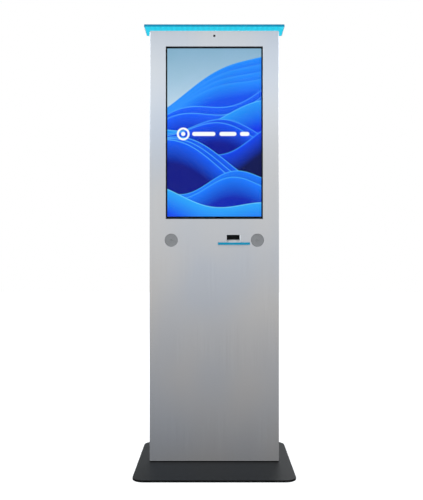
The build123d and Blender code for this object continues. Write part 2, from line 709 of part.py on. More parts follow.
# ---------------------------------------------------------------- speakers
def speaker_grille(side):
    """Perforated disc behind the round opening: holes in rings, and notches for the studs."""
    disc = Cylinder(speaker_stud, GRILLE_T)
    hole = Cylinder(GRILLE_HOLE_R, GRILLE_T + 2 * OVERRUN)
    holes = [hole]
    for number in range(1, GRILLE_RINGS + 1):
        holes += [place * hole for place in PolarLocations(number * GRILLE_PITCH, 6 * number)]
    return facing_rear(disc - holes, side * speaker_x, panel_in_y + GRILLE_T / 2, speaker_z)


def speaker_basket(side):
    """Square-flanged frame of the driver, with four windows in its tapered wall."""
    flange, wall, radius = BASKET_FLANGE_T, BASKET_WALL, SPEAKER_HOLE_R
    back_r, length = radius * 0.62, BASKET_DEPTH - flange
    half = radius + BASKET_LAP
    basket = rounded(Pos(0, 0, flange / 2) * Box(2 * half, 2 * half, flange), Axis.Z, 4.0)
    basket -= rod("z", -OVERRUN, flange, 0, 0, radius - wall)
    outer = Pos(0, 0, flange + length / 2) * Cone(radius, back_r, length)
    inner = Pos(0, 0, flange - wall + length / 2) * Cone(radius - wall, back_r - wall, length)
    basket += outer
    basket -= inner
    basket -= rod("z", flange, BASKET_DEPTH + OVERRUN, 0, 0, back_r * 0.45)
    for sx in (-1, 1):
        for sz in (-1, 1):
            basket -= screw_hole("z", 0.0, flange, sx * speaker_stud, sz * speaker_stud)
    window = Pos(0, 0, flange + length / 2) * Box(radius * 0.5, 3 * radius, length * 0.5)
    basket = basket - window - Rot(0, 0, 90) * window
    return facing_rear(basket, side * speaker_x, speaker_y, speaker_z)


def speaker_cone(side):
    """Paper cone with a rolled surround and a dust cap."""
    rim = SPEAKER_HOLE_R - BASKET_WALL - FIT
    neck, depth, paper, edge = rim * 0.3, SPEAKER_DEPTH * 0.34, 0.7, 1.2
    profile = Polyline(
        (0, depth), (neck, depth), (rim * 0.85, edge), (rim * 0.93, edge / 2), (rim, edge),
        (rim, edge + paper), (rim * 0.93, edge / 2 + paper), (rim * 0.85, edge + paper),
        (neck, depth + paper), (0, depth + paper), close=True,
    )
    cone = revolve(Rot(90, 0, 0) * make_face(profile), Axis.Z)
    cap_r = neck * 1.1
    cap = Pos(0, 0, depth + cap_r * 0.35) * Sphere(cap_r)
    cap &= Pos(0, 0, depth - cap_r) * Box(3 * cap_r, 3 * cap_r, 2 * cap_r + paper)
    return facing_rear(cone + cap, side * speaker_x, speaker_y, speaker_z)


def speaker_magnet(side):
    """Magnet and pole plate on the back of the basket."""
    magnet = rod("z", BASKET_DEPTH, SPEAKER_DEPTH, 0, 0, SPEAKER_HOLE_R * 0.72)
    return facing_rear(chamfer(magnet.edges(), 0.8), side * speaker_x, speaker_y, speaker_z)


# ---------------------------------------------------------------- ticket printer
def printer_mouth():
    """Black plastic throat behind the ticket opening, on four studs."""
    x, z0, z1, y0 = mouth_half, mouth_z0, mouth_z1, panel_in_y
    flange_x, flange_z = frame_in + MOUTH_FLANGE, STUD_R + SHAFT_HOLE + 4.0
    body = block(
        printer_x - flange_x, printer_x + flange_x, y0, y0 + MOUTH_FLANGE_T, z0 - flange_z, z1 + flange_z
    )
    body += block(
        printer_x - frame_in, printer_x + frame_in, y0, mouth_back_y, z0 - MOUTH_WALL, z1 + MOUTH_WALL
    )
    body -= block(printer_x - x, printer_x + x, y0 - OVERRUN, mouth_back_y + OVERRUN, z0, z1)
    for sx, sz in mouth_stud_places():
        body -= screw_hole("y", y0, y0 + MOUTH_FLANGE_T, sx, sz)
    return body


def ticket_chute():
    """Silver guide in the mouth: a slope that the ticket slides down, and a cheek on its right."""
    x, z0, play = mouth_half - FIT / 2, mouth_z0 + FIT / 2, 1.0
    profile = Polyline(
        (front_y, z0), (mouth_back_y - play, z0 + CHUTE_H), (mouth_back_y, z0 + CHUTE_H),
        (mouth_back_y, z0), close=True,
    )
    slope = Pos(printer_x - x, 0, 0) * extrude(Plane.YZ * make_face(profile), 2 * x)
    cheek = Polyline(
        (x, front_y), (x, mouth_back_y), (x - MOUTH_PLAY / 2, mouth_back_y),
        (x - 2 * MOUTH_PLAY, panel_in_y + play), (x - 2 * MOUTH_PLAY, front_y), close=True,
    )
    return slope + Pos(printer_x, 0, z0) * extrude(make_face(cheek), MOUTH_H - FIT)


def ticket_tray():
    """Cyan shelf under the mouth, dished on top, with two studs through the front panel."""
    half, y0 = TRAY_W / 2, front_y - TRAY_OUT
    tray = block(printer_x - half, printer_x + half, y0, front_y, mouth_z0 - TRAY_T, mouth_z0)
    tray = fillet(tray.edges().filter_by(Axis.Z).sort_by(Axis.Y)[:2], 5.0)
    dish = block(
        printer_x - half + TRAY_RIM, printer_x + half - TRAY_RIM, y0 + TRAY_RIM, front_y - TRAY_RIM / 2,
        mouth_z0 - TRAY_DISH, mouth_z0 + OVERRUN,
    )
    tray -= rounded(dish, Axis.Z, 2.5)
    for x, z in tray_stud_places():
        tray += rod("y", front_y - SCREW_END, panel_in_y + NUT_T + SCREW_END, x, z, STUD_R)
    return tray


def printer_frame():
    """Two side plates with front ears, two ties and a fixed spindle for the paper roll."""
    t, x0, x1 = PRINTER_PLATE_T, printer_x - frame_in - 0.5, printer_x + frame_in + 0.5
    ear_y = panel_in_y + MOUTH_FLANGE_T
    ear_z0, ear_z1 = mouth_z0 - 6.0, mouth_z1 + 6.0
    ties = block(x0, x1, mouth_back_y, frame_y1 - 4.0, frame_z0, frame_z0 + t)
    frame = ties + block(x0, x1, mouth_back_y, frame_y1 - 4.0, frame_z1 - t, frame_z1)
    frame += rod("x", x0, printer_x + frame_in - FIT, roll_y, roll_z, SPINDLE_R)
    for side in (-1, 1):
        plate = on_side(side, frame_in, frame_out, mouth_back_y, frame_y1, frame_z0, frame_z1)
        plate = rounded(plate, Axis.X, 3.0)
        plate += on_side(side, frame_in, frame_out, ear_y, mouth_back_y + 4.0, ear_z0, ear_z1)
        ear = on_side(side, frame_in, frame_in + MOUTH_FLANGE, ear_y, ear_y + SHELL_SHEET, ear_z0, ear_z1)
        frame += Pos(printer_x, 0, 0) * (plate + ear)
    for x, z in mouth_stud_places():
        frame -= screw_hole("y", ear_y, ear_y + SHELL_SHEET, x, z)
    start, end = printer_x - frame_out - OVERRUN, printer_x + frame_out + OVERRUN
    frame -= rod("x", start, end, platen_y, platen_z, PLATEN_SHAFT_R + RUNNING)
    frame -= rod("x", start, end, lever_y, lever_z, HEAD_PIVOT_R + RUNNING)
    return frame - rod("x", printer_x, end, motor_y, motor_z, MOTOR_R / 2)


def print_head():
    """Thermal head under the platen: strip, finned bar and two arms on a pivot through the plates."""
    x = frame_in - FIT
    x0, x1, top = printer_x - x, printer_x + x, platen_z - PLATEN_R - FIT
    bar_y0, bar_y1 = platen_y - 8.0, platen_y + 8.0
    head = block(x0, x1, bar_y0, bar_y1, top - 4.0, top - 1.0)
    head += block(x0 + 2.0, x1 - 2.0, platen_y - 4.0, platen_y + 4.0, top - 1.0, top)
    for i in range(HEAD_FINS):
        y = bar_y0 + 1.0 + (bar_y1 - bar_y0 - 2.0) * i / (HEAD_FINS - 1)
        head += block(x0, x1, y - 0.8, y + 0.8, top - 8.0, top - 3.5)
    for start, end in ((x0, x0 + 3.0), (x1 - 3.0, x1)):
        head += block(start, end, bar_y0 + 4.0, lever_y, lever_z - 2.0, top - 2.0)
        head += rod("x", start, end, lever_y, lever_z, HEAD_PIVOT_R + 2.0)
    lever_x0 = printer_x - frame_out - FIT - PRINTER_PLATE_T
    return head + rod("x", lever_x0, printer_x + frame_out + 1.0, lever_y, lever_z, HEAD_PIVOT_R)


def release_lever():
    """Lever on the left end of the head's pivot, with a round finger grip."""
    x1 = printer_x - frame_out - FIT
    x0, tip_z = x1 - PRINTER_PLATE_T, lever_z - LEVER_L
    lever = rod("x", x0, x1, lever_y, lever_z, HEAD_PIVOT_R + 2.5)
    lever += block(x0, x1, lever_y - 2.5, lever_y + 2.5, tip_z, lever_z)
    lever += rod("x", x0 - 6.0, x1, lever_y, tip_z, LEVER_KNOB_R)
    return lever - rod("x", x0 - OVERRUN, x1 + OVERRUN, lever_y, lever_z, HEAD_PIVOT_R)


def platen_roller():
    """Rubber-faced roller on its steel shaft, which carries the gear."""
    reach = frame_in - OVERRUN
    roller = rod("x", printer_x - reach, printer_x + reach, platen_y, platen_z, PLATEN_R)
    start, end = printer_x - frame_out - 2.0, gear_x + GEAR_W + 1.0
    return roller + rod("x", start, end, platen_y, platen_z, PLATEN_SHAFT_R)


def gear_outline(teeth, addendum=0.8, dedendum=1.15, backlash=0.2):
    """Involute gear outline as a face, with a tooth on +X."""
    pitch_r = GEAR_MODULE * teeth / 2
    base_r = pitch_r * cos(radians(20))
    tip_r = pitch_r + addendum * GEAR_MODULE
    root_r = pitch_r - dedendum * GEAR_MODULE

    def involute(angle):
        return tan(angle) - angle

    half_tooth = pi / (2 * teeth) - backlash / (2 * pitch_r) + involute(radians(20))
    start_r = max(root_r, base_r)
    flank = [(start_r + (tip_r - start_r) * i / 4) for i in range(5)]
    half_angles = [half_tooth - involute(acos(base_r / r)) for r in flank]
    if root_r < base_r:
        flank.insert(0, root_r)
        half_angles.insert(0, half_tooth)
    points = []
    for tooth in range(teeth):
        middle = 2 * pi * tooth / teeth
        sides = [(r, middle - half) for r, half in zip(flank, half_angles)]
        sides += [(r, middle + half) for r, half in zip(reversed(flank), reversed(half_angles))]
        points += [(r * cos(angle), r * sin(angle)) for r, angle in sides]
    return make_face(Polyline(*points, close=True))


def spur_gear(teeth, y, z, turn, bore_r, hub_r):
    """A gear on an axis along X, with a tooth at an angle from +Y towards +Z."""
    gear = extrude(gear_outline(teeth), GEAR_W)
    gear += rod("z", 0, GEAR_W, 0, 0, hub_r)
    gear -= rod("z", -OVERRUN, GEAR_W + OVERRUN, 0, 0, bore_r)
    standing = Plane(origin=(gear_x, y, z), x_dir=(0, 1, 0), z_dir=(1, 0, 0))
    return standing.location * Rot(0, 0, turn) * gear


def mesh_angle():
    """Direction from the platen's axis to the motor's, in degrees from +Y towards +Z."""
    return acos(MOTOR_SETBACK / gear_distance) * 180 / pi


def platen_gear():
    """Gear pressed on the platen's shaft, recessed on its outer face."""
    gear = spur_gear(PLATEN_TEETH, platen_y, platen_z, mesh_angle(), PLATEN_SHAFT_R, 2 * PLATEN_SHAFT_R)
    rim_r, end = GEAR_MODULE * PLATEN_TEETH / 2 - 3.0, gear_x + GEAR_W
    recess = rod("x", end - 1.2, end + OVERRUN, platen_y, platen_z, rim_r)
    return gear - (recess - rod("x", end - 2.0, end + 2.0, platen_y, platen_z, 2 * PLATEN_SHAFT_R))


def motor_gear():
    """Pinion with the motor's shaft, with a gap between teeth towards the platen gear."""
    turn = mesh_angle() + 180.0 + 180.0 / MOTOR_TEETH
    gear = spur_gear(MOTOR_TEETH, motor_y, motor_z, turn, MOTOR_SHAFT_R / 2, 2 * MOTOR_SHAFT_R)
    start, end = printer_x + frame_in - MOTOR_L / 2, gear_x + GEAR_W + 0.5
    return gear + rod("x", start, end, motor_y, motor_z, MOTOR_SHAFT_R)


def printer_motor():
    """Stepper motor on the inside of the right-hand plate, with a collar through it."""
    face = printer_x + frame_in
    motor = rod("x", face - MOTOR_L, face, motor_y, motor_z, MOTOR_R)
    motor = chamfer(motor.edges().group_by(Axis.X)[0], 1.0)
    motor += rod("x", face - OVERRUN, face + PRINTER_PLATE_T, motor_y, motor_z, MOTOR_R / 2 - FIT)
    bore_r = MOTOR_SHAFT_R + RUNNING
    return motor - rod("x", face - MOTOR_L / 2 - FIT, face + MOTOR_R, motor_y, motor_z, bore_r)


def paper_roll():
    """Roll of ticket paper on its core."""
    x0, x1 = printer_x - TICKET_W / 2, printer_x + TICKET_W / 2
    roll = chamfer(rod("x", x0, x1, roll_y, roll_z, ROLL_R).edges(), 0.5)
    return roll - rod("x", x0 - OVERRUN, x1 + OVERRUN, roll_y, roll_z, SPINDLE_R + ROLL_PLAY)


# ---------------------------------------------------------------- rear door
def door_slots():
    """Centre x, centre z and half length of each air slot: a disc of them at the fan, two fields below."""
    slots = []
    for i in range(FAN_SLOTS):
        offset = (i - (FAN_SLOTS - 1) / 2) * SLOT_PITCH
        reach = (FAN_SIZE * 0.4) ** 2 - offset**2
        slots.append((0.0, fan_z + offset, sqrt(max(reach, 4 * SLOT_W**2))))
    for side in (-1, 1):
        for i in range(INTAKE_SLOTS):
            slots.append((side * INTAKE_X, door_z0 + INTAKE_UP + i * INTAKE_PITCH, INTAKE_HALF_L))
    return slots


def rear_door():
    """Sheet door with folded edges, air slots at the fan and at the bottom, and two lock holes."""
    door = block(-door_half_w, door_half_w, door_y, door_back_y, door_z0, door_z1)
    door = rounded(door, Axis.Y, DOOR_CORNER_R)
    x, inset = door_edge_x - DOOR_RETURN_CLEAR, DOOR_LAP + DOOR_RETURN_CLEAR
    y0 = door_y - DOOR_RETURN
    edge = ring(x, door_z0 + inset, door_z1 - inset, SHELL_SHEET, y0, door_y + FRONT_SHEET / 2)
    for z in lock_zs.values():
        edge -= block(x - 5.0, x + 5.0, y0 - OVERRUN, door_y, z - CAM_L - 6.0, z + CAM_W)
    door += edge
    for z in lock_zs.values():
        door -= rod("y", door_y - OVERRUN, door_back_y + OVERRUN, lock_x, z, LOCK_R)
    for cx, cz, half in door_slots():
        slot = around(cx, cz, 2 * half, SLOT_W, door_y - OVERRUN, door_back_y + OVERRUN)
        door -= rounded(slot, Axis.Y, SLOT_W * 0.49)
    for sx, sz in hinge_screw_places(door_leaf_x()) + fan_screw_places():
        door -= screw_hole("y", door_y, door_back_y, sx, sz)
    return door


def door_seal():
    """Foam seal on the rim of the door opening."""
    reach = DOOR_SEAL_W + 1.0
    z0, z1 = plate_z + KICK_H - reach, panel_z1 - HEADER_H + reach
    return ring(door_edge_x + reach, z0, z1, DOOR_SEAL_W, rear_y, door_y - DOOR_SEAL_GAP)


def hinge_leaf(z, on_door):
    """One leaf with its knuckles: the frame's has the outer two, the door's the middle one."""
    third, half = HINGE_L / 3, HINGE_L / 2
    side, width, y0, x = -1, HINGE_FRAME_LEAF, rear_y, frame_leaf_x()
    spans = [(-half, third - half), (half - third, half)]
    if on_door:
        side, width, y0, x = 1, HINGE_DOOR_LEAF, door_back_y, door_leaf_x()
        spans = [(third - half + FIT, half - third - FIT)]
    y1 = y0 + HINGE_LEAF_T
    leaf = block(x - width / 2, x + width / 2, y0, y1, z - half, z + half)
    for low, high in spans:
        web_x = sorted((pin_x, pin_x + side * (KNUCKLE_R + 1.5)))
        leaf += block(*web_x, y0, y1, z + low, z + high)
        leaf += rod("z", z + low, z + high, pin_x, pin_y, KNUCKLE_R)
    for sx, sz in hinge_screw_places(x):
        leaf -= screw_hole("y", y0, y1, sx, sz)
    return leaf - rod("z", z - half - OVERRUN, z + half + OVERRUN, pin_x, pin_y, PIN_R + RUNNING)


def hinge_pin(z):
    """Hinge pin with a small head at its top."""
    top = z + HINGE_L / 2
    pin = rod("z", z - HINGE_L / 2, top, pin_x, pin_y, PIN_R)
    return pin + rod("z", top, top + PIN_R, pin_x, pin_y, KNUCKLE_R * 0.75)


def door_screws():
    """M4 screws of the door: hinge leaves, and the fan with its guard."""
    leaf = pan_screw(HINGE_LEAF_T + FRONT_SHEET)
    screws = [
        facing_rear(leaf, x, door_back_y + HINGE_LEAF_T, z) for x, z in hinge_screw_places(door_leaf_x())
    ]
    head_y = guard_y + GUARD_T / 2
    long = pan_screw(head_y - door_y + FAN_T - SCREW_END)
    return screws + [facing_rear(long, x, head_y, z) for x, z in fan_screw_places()]


def lock_barrel(z):
    """Lock body through the door, with a flange outside."""
    head = rod("y", door_back_y, door_back_y + LOCK_FLANGE, lock_x, z, LOCK_R + LOCK_FLANGE)
    head = chamfer(head.edges().group_by(Axis.Y)[-1], 1.0)
    barrel = head + rod("y", cam_y + CAM_T + FIT, door_back_y + LOCK_FLANGE / 2, lock_x, z, LOCK_R)
    end = door_back_y + LOCK_FLANGE + OVERRUN
    return barrel - rod("y", cam_y, end, lock_x, z, LOCK_PLUG_R + RUNNING)


def lock_cam(z):
    """Key plug with its keyway, and the cam on its inner end, which points down when unlocked."""
    plug = rod("y", cam_y, door_back_y + LOCK_FLANGE - 0.5, lock_x, z, LOCK_PLUG_R)
    plug -= around(lock_x, z, 1.6, 7.0, door_back_y - 4.0, door_back_y + LOCK_FLANGE + OVERRUN)
    half = CAM_W / 2
    cam = block(lock_x - half, lock_x + half, cam_y, cam_y + CAM_T, z - CAM_L, z + half + OVERRUN)
    nut = facing_rear(hex_nut(5.5, 3.0, 1.0), lock_x, cam_y - 3.0, z)
    return plug + rounded(cam, Axis.Y, 5.0) + nut


# ---------------------------------------------------------------- fan
def fan_frame():
    """Square fan frame with a round duct, four struts, the motor boss and its axle."""
    bore, boss_r, strut = FAN_SIZE / 2 - 2.0, FAN_SIZE * 0.2, 3.0
    frame = rounded(Pos(0, 0, FAN_T / 2) * Box(FAN_SIZE, FAN_SIZE, FAN_T), Axis.Z, 4.0)
    frame -= rod("z", -OVERRUN, FAN_T + OVERRUN, 0, 0, bore)
    for sx in (-1, 1):
        for sz in (-1, 1):
            frame -= screw_hole("z", 0, FAN_T, sx * fan_hole, sz * fan_hole)
    for angle in (45, 135, 225, 315):
        arm = Pos((bore + boss_r) / 2, 0, strut / 2) * Box(bore - boss_r + 4.0, strut, strut)
        frame += Rot(0, 0, angle) * arm
    frame += rod("z", 0, strut, 0, 0, boss_r)
    frame += rod("z", 0, FAN_T * 0.6, 0, 0, FAN_BOSS_R)
    return facing_rear(frame, 0.0, fan_y, fan_z)


def fan_rotor():
    """Hub with pitched blades, on the frame's axle."""
    hub_r, tip_r, z0, z1 = FAN_SIZE * 0.2, FAN_SIZE / 2 - 3.2, 3.6, FAN_T - 1.0
    blade_l, middle = tip_r - hub_r + 6.0, (z0 + z1) / 2
    hub = fillet(rod("z", z0, z1, 0, 0, hub_r).edges().group_by(Axis.Z)[-1], 1.5)
    blade = Pos((tip_r + hub_r) / 2 - 1.0, 0, middle) * Rot(52, 0, 0) * Box(blade_l, 1.2, 12.0)
    rotor = hub
    for i in range(FAN_BLADES):
        rotor += Rot(0, 0, 360.0 * i / FAN_BLADES) * blade
    rotor &= rod("z", z0, z1, 0, 0, tip_r)
    rotor -= rod("z", 0, FAN_T * 0.6 + FIT, 0, 0, FAN_BOSS_R + RUNNING)
    return facing_rear(rotor, 0.0, fan_y, fan_z)


def fan_guard():
    """Stamped guard on the outside of the door: rings on two crossed bars, with four screw eyes."""
    half, wide, reach = GUARD_T / 2, GUARD_BAR / 2, fan_hole * sqrt(2)
    guard = Box(2 * reach, GUARD_BAR, GUARD_T) + Box(GUARD_BAR, 2 * reach, GUARD_T)
    for number in range(1, 5):
        radius = number * FAN_SIZE / 9
        guard += rod("z", -half, half, 0, 0, radius + wide) - rod("z", -GUARD_T, GUARD_T, 0, 0, radius - wide)
    for angle in (0, 90, 180, 270):
        turn = Rot(0, 0, angle)
        guard += turn * rod("z", door_back_y - guard_y, half, reach, 0, 2 * STUD_R)
        guard -= turn * screw_hole("z", door_back_y - guard_y, half, reach, 0)
    return facing_rear(Rot(0, 0, 45) * guard, 0.0, guard_y, fan_z)


# ---------------------------------------------------------------- electronics
def mini_pc():
    """Small computer with a grooved lid for cooling and a row of ports along its lower edge."""
    width, depth, height = PC_SIZE
    back, groove, fins = board_back_y + depth, depth * 0.2, 14
    box = rounded(around(PC_X, pc_z, width, height, board_back_y, back), Axis.Y, 3.0)
    pitch = (width - 20.0) / fins
    for i in range(fins):
        x = PC_X + (i - (fins - 1) / 2) * pitch
        box -= around(x, pc_z, pitch * 0.6, height - 16.0, back - groove, back + OVERRUN)
    for i in range(PC_PORTS):
        x, y = pc_port_x(i), board_back_y + depth * 0.3
        box -= block(x - 7.0, x + 7.0, y - 3.0, y + 3.0, pc_z0 - OVERRUN, pc_z0 + 6.0)
    return box


def pc_port_x(number):
    """Middle of one of the computer's ports."""
    return PC_X + (number - (PC_PORTS - 1) / 2) * PC_PORT_PITCH


def power_supply():
    """Metal-cased supply with a terminal block along its lower edge."""
    width, depth, height = SUPPLY_SIZE
    step_z, step_y = supply_z0 + 14.0, board_back_y + depth * 0.45
    x0 = SUPPLY_X - width / 2
    box = block(x0, x0 + width, board_back_y, board_back_y + depth, supply_z0, supply_z0 + height)
    box -= block(
        x0 - OVERRUN, x0 + width + OVERRUN, step_y, board_back_y + depth + OVERRUN,
        supply_z0 - OVERRUN, step_z,
    )
    for i in range(TERMINALS):
        x = terminal_x(i)
        box += block(x - 4.0, x + 4.0, step_y - 0.5, step_y + 8.0, supply_z0 + 2.0, step_z + 0.5)
    return box


def terminal_x(number):
    """Middle of one of the supply's terminals."""
    return SUPPLY_X - SUPPLY_SIZE[0] / 2 + 14.0 + number * TERMINAL_PITCH


def socket_body(cut, lap, depth):
    """A flanged housing in a cut-out of the kick panel."""
    x, width, height = cut
    flange = around(x, socket_z, width + 2 * lap[0], height + 2 * lap[1], rear_y, rear_y + SOCKET_FLANGE_T)
    flange = rounded(flange, Axis.Y, 2.0)
    return flange + around(x, socket_z, width - 2 * FIT, height - 2 * FIT, rear_y - depth, rear_y + 0.5)


def power_inlet():
    """Mains inlet: a recess with three flat pins."""
    x, width, height = INLET_CUT
    floor_y, face_y = rear_y - 15.0, rear_y + SOCKET_FLANGE_T
    body = socket_body(INLET_CUT, (11.0, 2.0), 26.0)
    body -= around(x, socket_z, width - 3.6, height - 4.6, floor_y, face_y + OVERRUN)
    for dx, dz in ((-7.0, -2.0), (0.0, 2.0), (7.0, -2.0)):
        body += around(x + dx, socket_z + dz, 2.0, 4.0, floor_y - OVERRUN, rear_y - 4.0)
    return body


def network_socket():
    """Network socket: a stepped hole in a flanged housing."""
    x = NETWORK_CUT[0]
    floor_y, face_y = rear_y - 14.0, rear_y + SOCKET_FLANGE_T + OVERRUN
    body = socket_body(NETWORK_CUT, (4.0, 4.0), 24.0)
    body -= around(x, socket_z, 11.8, 6.8, floor_y, face_y)
    return body - around(x, socket_z - 2.7, 6.0, 5.4, floor_y, face_y)


def switch_housing():
    """Frame of the mains switch, hollow round its rocker, with a bore for the rocker's pin."""
    x, width, height = SWITCH_CUT
    body = socket_body(SWITCH_CUT, (2.0, 2.5), 24.0)
    body -= around(x, socket_z, width - 6.0, height - 6.0, rear_y - 15.0, rear_y + SOCKET_FLANGE_T + OVERRUN)
    reach = width / 2 - 1.5
    return body - rod("x", x - reach, x + reach, rear_y - 5.0, socket_z, ROCKER_PIN_R + RUNNING)


def switch_rocker():
    """Rocker on its pin, tipped by half its travel: its off position."""
    x, width, height = SWITCH_CUT
    half_h, half_x, y = height / 2 - 4.6, width / 2 - 3.0 - FIT, rear_y - 5.0
    profile = Polyline(
        (-4.0, -3.0), (-4.0, 3.0), (1.5, half_h), (6.5, half_h), (5.0, 0.0),
        (6.5, -half_h), (1.5, -half_h), close=True,
    )
    rocker = Pos(-half_x, 0, 0) * extrude(Plane.YZ * make_face(profile), 2 * half_x)
    reach = width / 2 - 1.8
    rocker += rod("x", -reach, reach, 0, 0, ROCKER_PIN_R)
    return Pos(x, y, socket_z) * Rot(ROCKER_HALF_TRAVEL, 0, 0) * rocker


# ---------------------------------------------------------------- cables
def cable(name, points, diameter):
    """A round cable along straight runs joined by arcs as large as the runs allow."""
    vectors = [Vector(*point) for point in points]
    radii = []
    for before, here, after in zip(vectors, vectors[1:], vectors[2:]):
        turn = radians((here - before).get_angle(after - here))
        shorter = min((here - before).length, (after - here).length)
        radii.append(0.45 * shorter / tan(turn / 2))
    path = FilletPolyline(*points, radius=radii)
    tube = sweep(Plane(origin=path @ 0, z_dir=path % 0) * Circle(diameter / 2), path=path)
    expected = pi * diameter**2 / 4 * path.length
    print(name, "length", round(path.length, 1), "radii", [round(r) for r in radii])
    print(name, "volume", round(tube.volume), "expected", round(expected))
    return tube


def mains_cable():
    """Mains lead from the inlet's top up the left side to the first terminal of the supply."""
    x, y, z0 = INLET_CUT[0], rear_y - 20.0, socket_z + INLET_CUT[2] / 2 - FIT
    left, end_x, end_z = -door_edge_x - 8.0, terminal_x(0), supply_z0 + 2.0
    end_y = board_back_y + SUPPLY_SIZE[1] * 0.45 + MAINS_CABLE_D / 2 + FIT
    return cable("mains_cable", [
        (x, y, z0), (x, y, z0 + 60.0), (left, y - 4.0, z0 + 150.0), (left, y - 4.0, end_z - 230.0),
        (end_x - 10.0, y, end_z - 70.0), (end_x, end_y, end_z - 35.0), (end_x, end_y, end_z),
    ], MAINS_CABLE_D)


def display_cable():
    """Signal lead from the computer's last port round the plate's edge to the display's electronics."""
    x, y, z = pc_port_x(PC_PORTS - 1), board_back_y + PC_SIZE[1] * 0.3, pc_z0
    end_x, end_y = lcd_board_x, rail_y + LCD_BOARD[1] / 2
    edge = PLATE_W / 2
    return cable("display_cable", [
        (x, y, z + 2.0), (x, y, z - 30.0), (x + 20.0, y, z - 62.0), (edge - 12.0, y - 1.0, z - 76.0),
        (edge + 20.0, end_y + 4.0, z - 58.0), (end_x, end_y, z - 24.0), (end_x, end_y, lcd_board_z0),
    ], DISPLAY_CABLE_D)


# ---------------------------------------------------------------- every node
NODES = {
    "base_plate": base_plate,
    "foot_channel": foot_channel,
    "foot_bolts": lambda: [foot_bolt(x, y) for x, y in base_bolt_places()],
    "front_panel": front_panel,
    "panel_nuts": panel_nuts,
    "side_panel_left": lambda: side_panel(-1),
    "side_panel_right": lambda: side_panel(1),
    "top_panel": top_panel,
    "rear_kick_panel": rear_kick_panel,
    "panel_screws": panel_screws,
    "canopy_shell": canopy_shell,
    "canopy_diffuser": canopy_diffuser,
    "canopy_led_strip": canopy_led_strip,
    "touch_glass": touch_glass,
    "glass_gasket": glass_gasket,
    "lcd_module": lcd_module,
    "display_rail_upper": lambda: display_rail(rail_zs["upper"]),
    "display_rail_lower": lambda: display_rail(rail_zs["lower"]),
    "mounting_plate": mounting_plate,
    "camera_housing": camera_housing,
    "camera_lens": camera_lens,
    "printer_mouth": printer_mouth,
    "ticket_chute": ticket_chute,
    "ticket_tray": ticket_tray,
    "printer_frame": printer_frame,
    "print_head": print_head,
    "release_lever": release_lever,
    "platen_roller": platen_roller,
    "platen_gear": platen_gear,
    "motor_gear": motor_gear,
    "printer_motor": printer_motor,
    "paper_roll": paper_roll,
    "rear_door": rear_door,
    "door_seal": door_seal,
    "door_screws": door_screws,
    "hinge_frame_leaves": lambda: [hinge_leaf(z, False) for z in hinge_zs],
    "hinge_door_leaves": lambda: [hinge_leaf(z, True) for z in hinge_zs],
    "hinge_pins": lambda: [hinge_pin(z) for z in hinge_zs],
    "lock_barrels": lambda: [lock_barrel(z) for z in lock_zs.values()],
    "lock_upper_cam": lambda: lock_cam(lock_zs["upper"]),
    "lock_lower_cam": lambda: lock_cam(lock_zs["lower"]),
    "fan_frame": fan_frame,
    "fan_rotor": fan_rotor,
    "fan_guard": fan_guard,
    "mini_pc": mini_pc,
    "power_supply": power_supply,
    "power_inlet": power_inlet,
    "switch_housing": switch_housing,
    "switch_rocker": switch_rocker,
    "network_socket": network_socket,
    "mains_cable": mains_cable,
    "display_cable": display_cable,
}
SPEAKER_PIECES = {
    "grille": speaker_grille, "basket": speaker_basket, "cone": speaker_cone, "magnet": speaker_magnet,
}

os.makedirs("parts", exist_ok=True)
for node_name, make in NODES.items():
    save(node_name, make())
for side_name, side_sign in (("left", -1), ("right", 1)):
    for piece_name, make_piece in SPEAKER_PIECES.items():
        save(f"speaker_{side_name}_{piece_name}", make_piece(side_sign))
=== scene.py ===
# %% [markdown]
# # A touchscreen kiosk, from its sheet metal to its light
# The kiosk is a slim pillar of folded sheet on a flat steel base. Its shapes come from the packed
# CAD model, which this lesson loads as a fixed frame. What is left to Blender is what the eye reads
# as real: brushed grain, powder coat, moulded plastic, a lit display, and the small pressed or bent
# pieces that repeat. Everything is in metres, and positions come from the frame's own boxes.

from collections import namedtuple
from math import atan2, pi, radians

import bpy
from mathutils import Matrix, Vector


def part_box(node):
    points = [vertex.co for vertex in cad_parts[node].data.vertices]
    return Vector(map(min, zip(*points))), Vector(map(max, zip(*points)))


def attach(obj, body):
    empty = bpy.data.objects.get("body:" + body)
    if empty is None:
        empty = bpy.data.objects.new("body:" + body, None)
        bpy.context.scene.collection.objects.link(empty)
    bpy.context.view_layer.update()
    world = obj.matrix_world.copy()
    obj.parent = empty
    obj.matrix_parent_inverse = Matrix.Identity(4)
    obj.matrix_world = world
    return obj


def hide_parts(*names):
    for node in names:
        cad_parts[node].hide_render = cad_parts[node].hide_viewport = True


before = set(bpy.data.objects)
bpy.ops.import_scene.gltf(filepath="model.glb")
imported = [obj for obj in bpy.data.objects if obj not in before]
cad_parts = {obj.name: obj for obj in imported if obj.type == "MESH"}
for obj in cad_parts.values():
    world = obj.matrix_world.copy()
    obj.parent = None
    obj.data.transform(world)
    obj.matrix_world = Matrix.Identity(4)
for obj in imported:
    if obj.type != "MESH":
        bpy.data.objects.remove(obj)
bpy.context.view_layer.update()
scene = bpy.context.scene
MM = 0.001

# %% [markdown]
# ## Camera
# A product shot of a tall, flat object is taken from far off, at half its height and square to it, so
# that its uprights stay parallel. The lens is a little longer than a normal one. The camera could be
# tilted to centre the object, but that would make the uprights lean, so the lens is shifted instead.

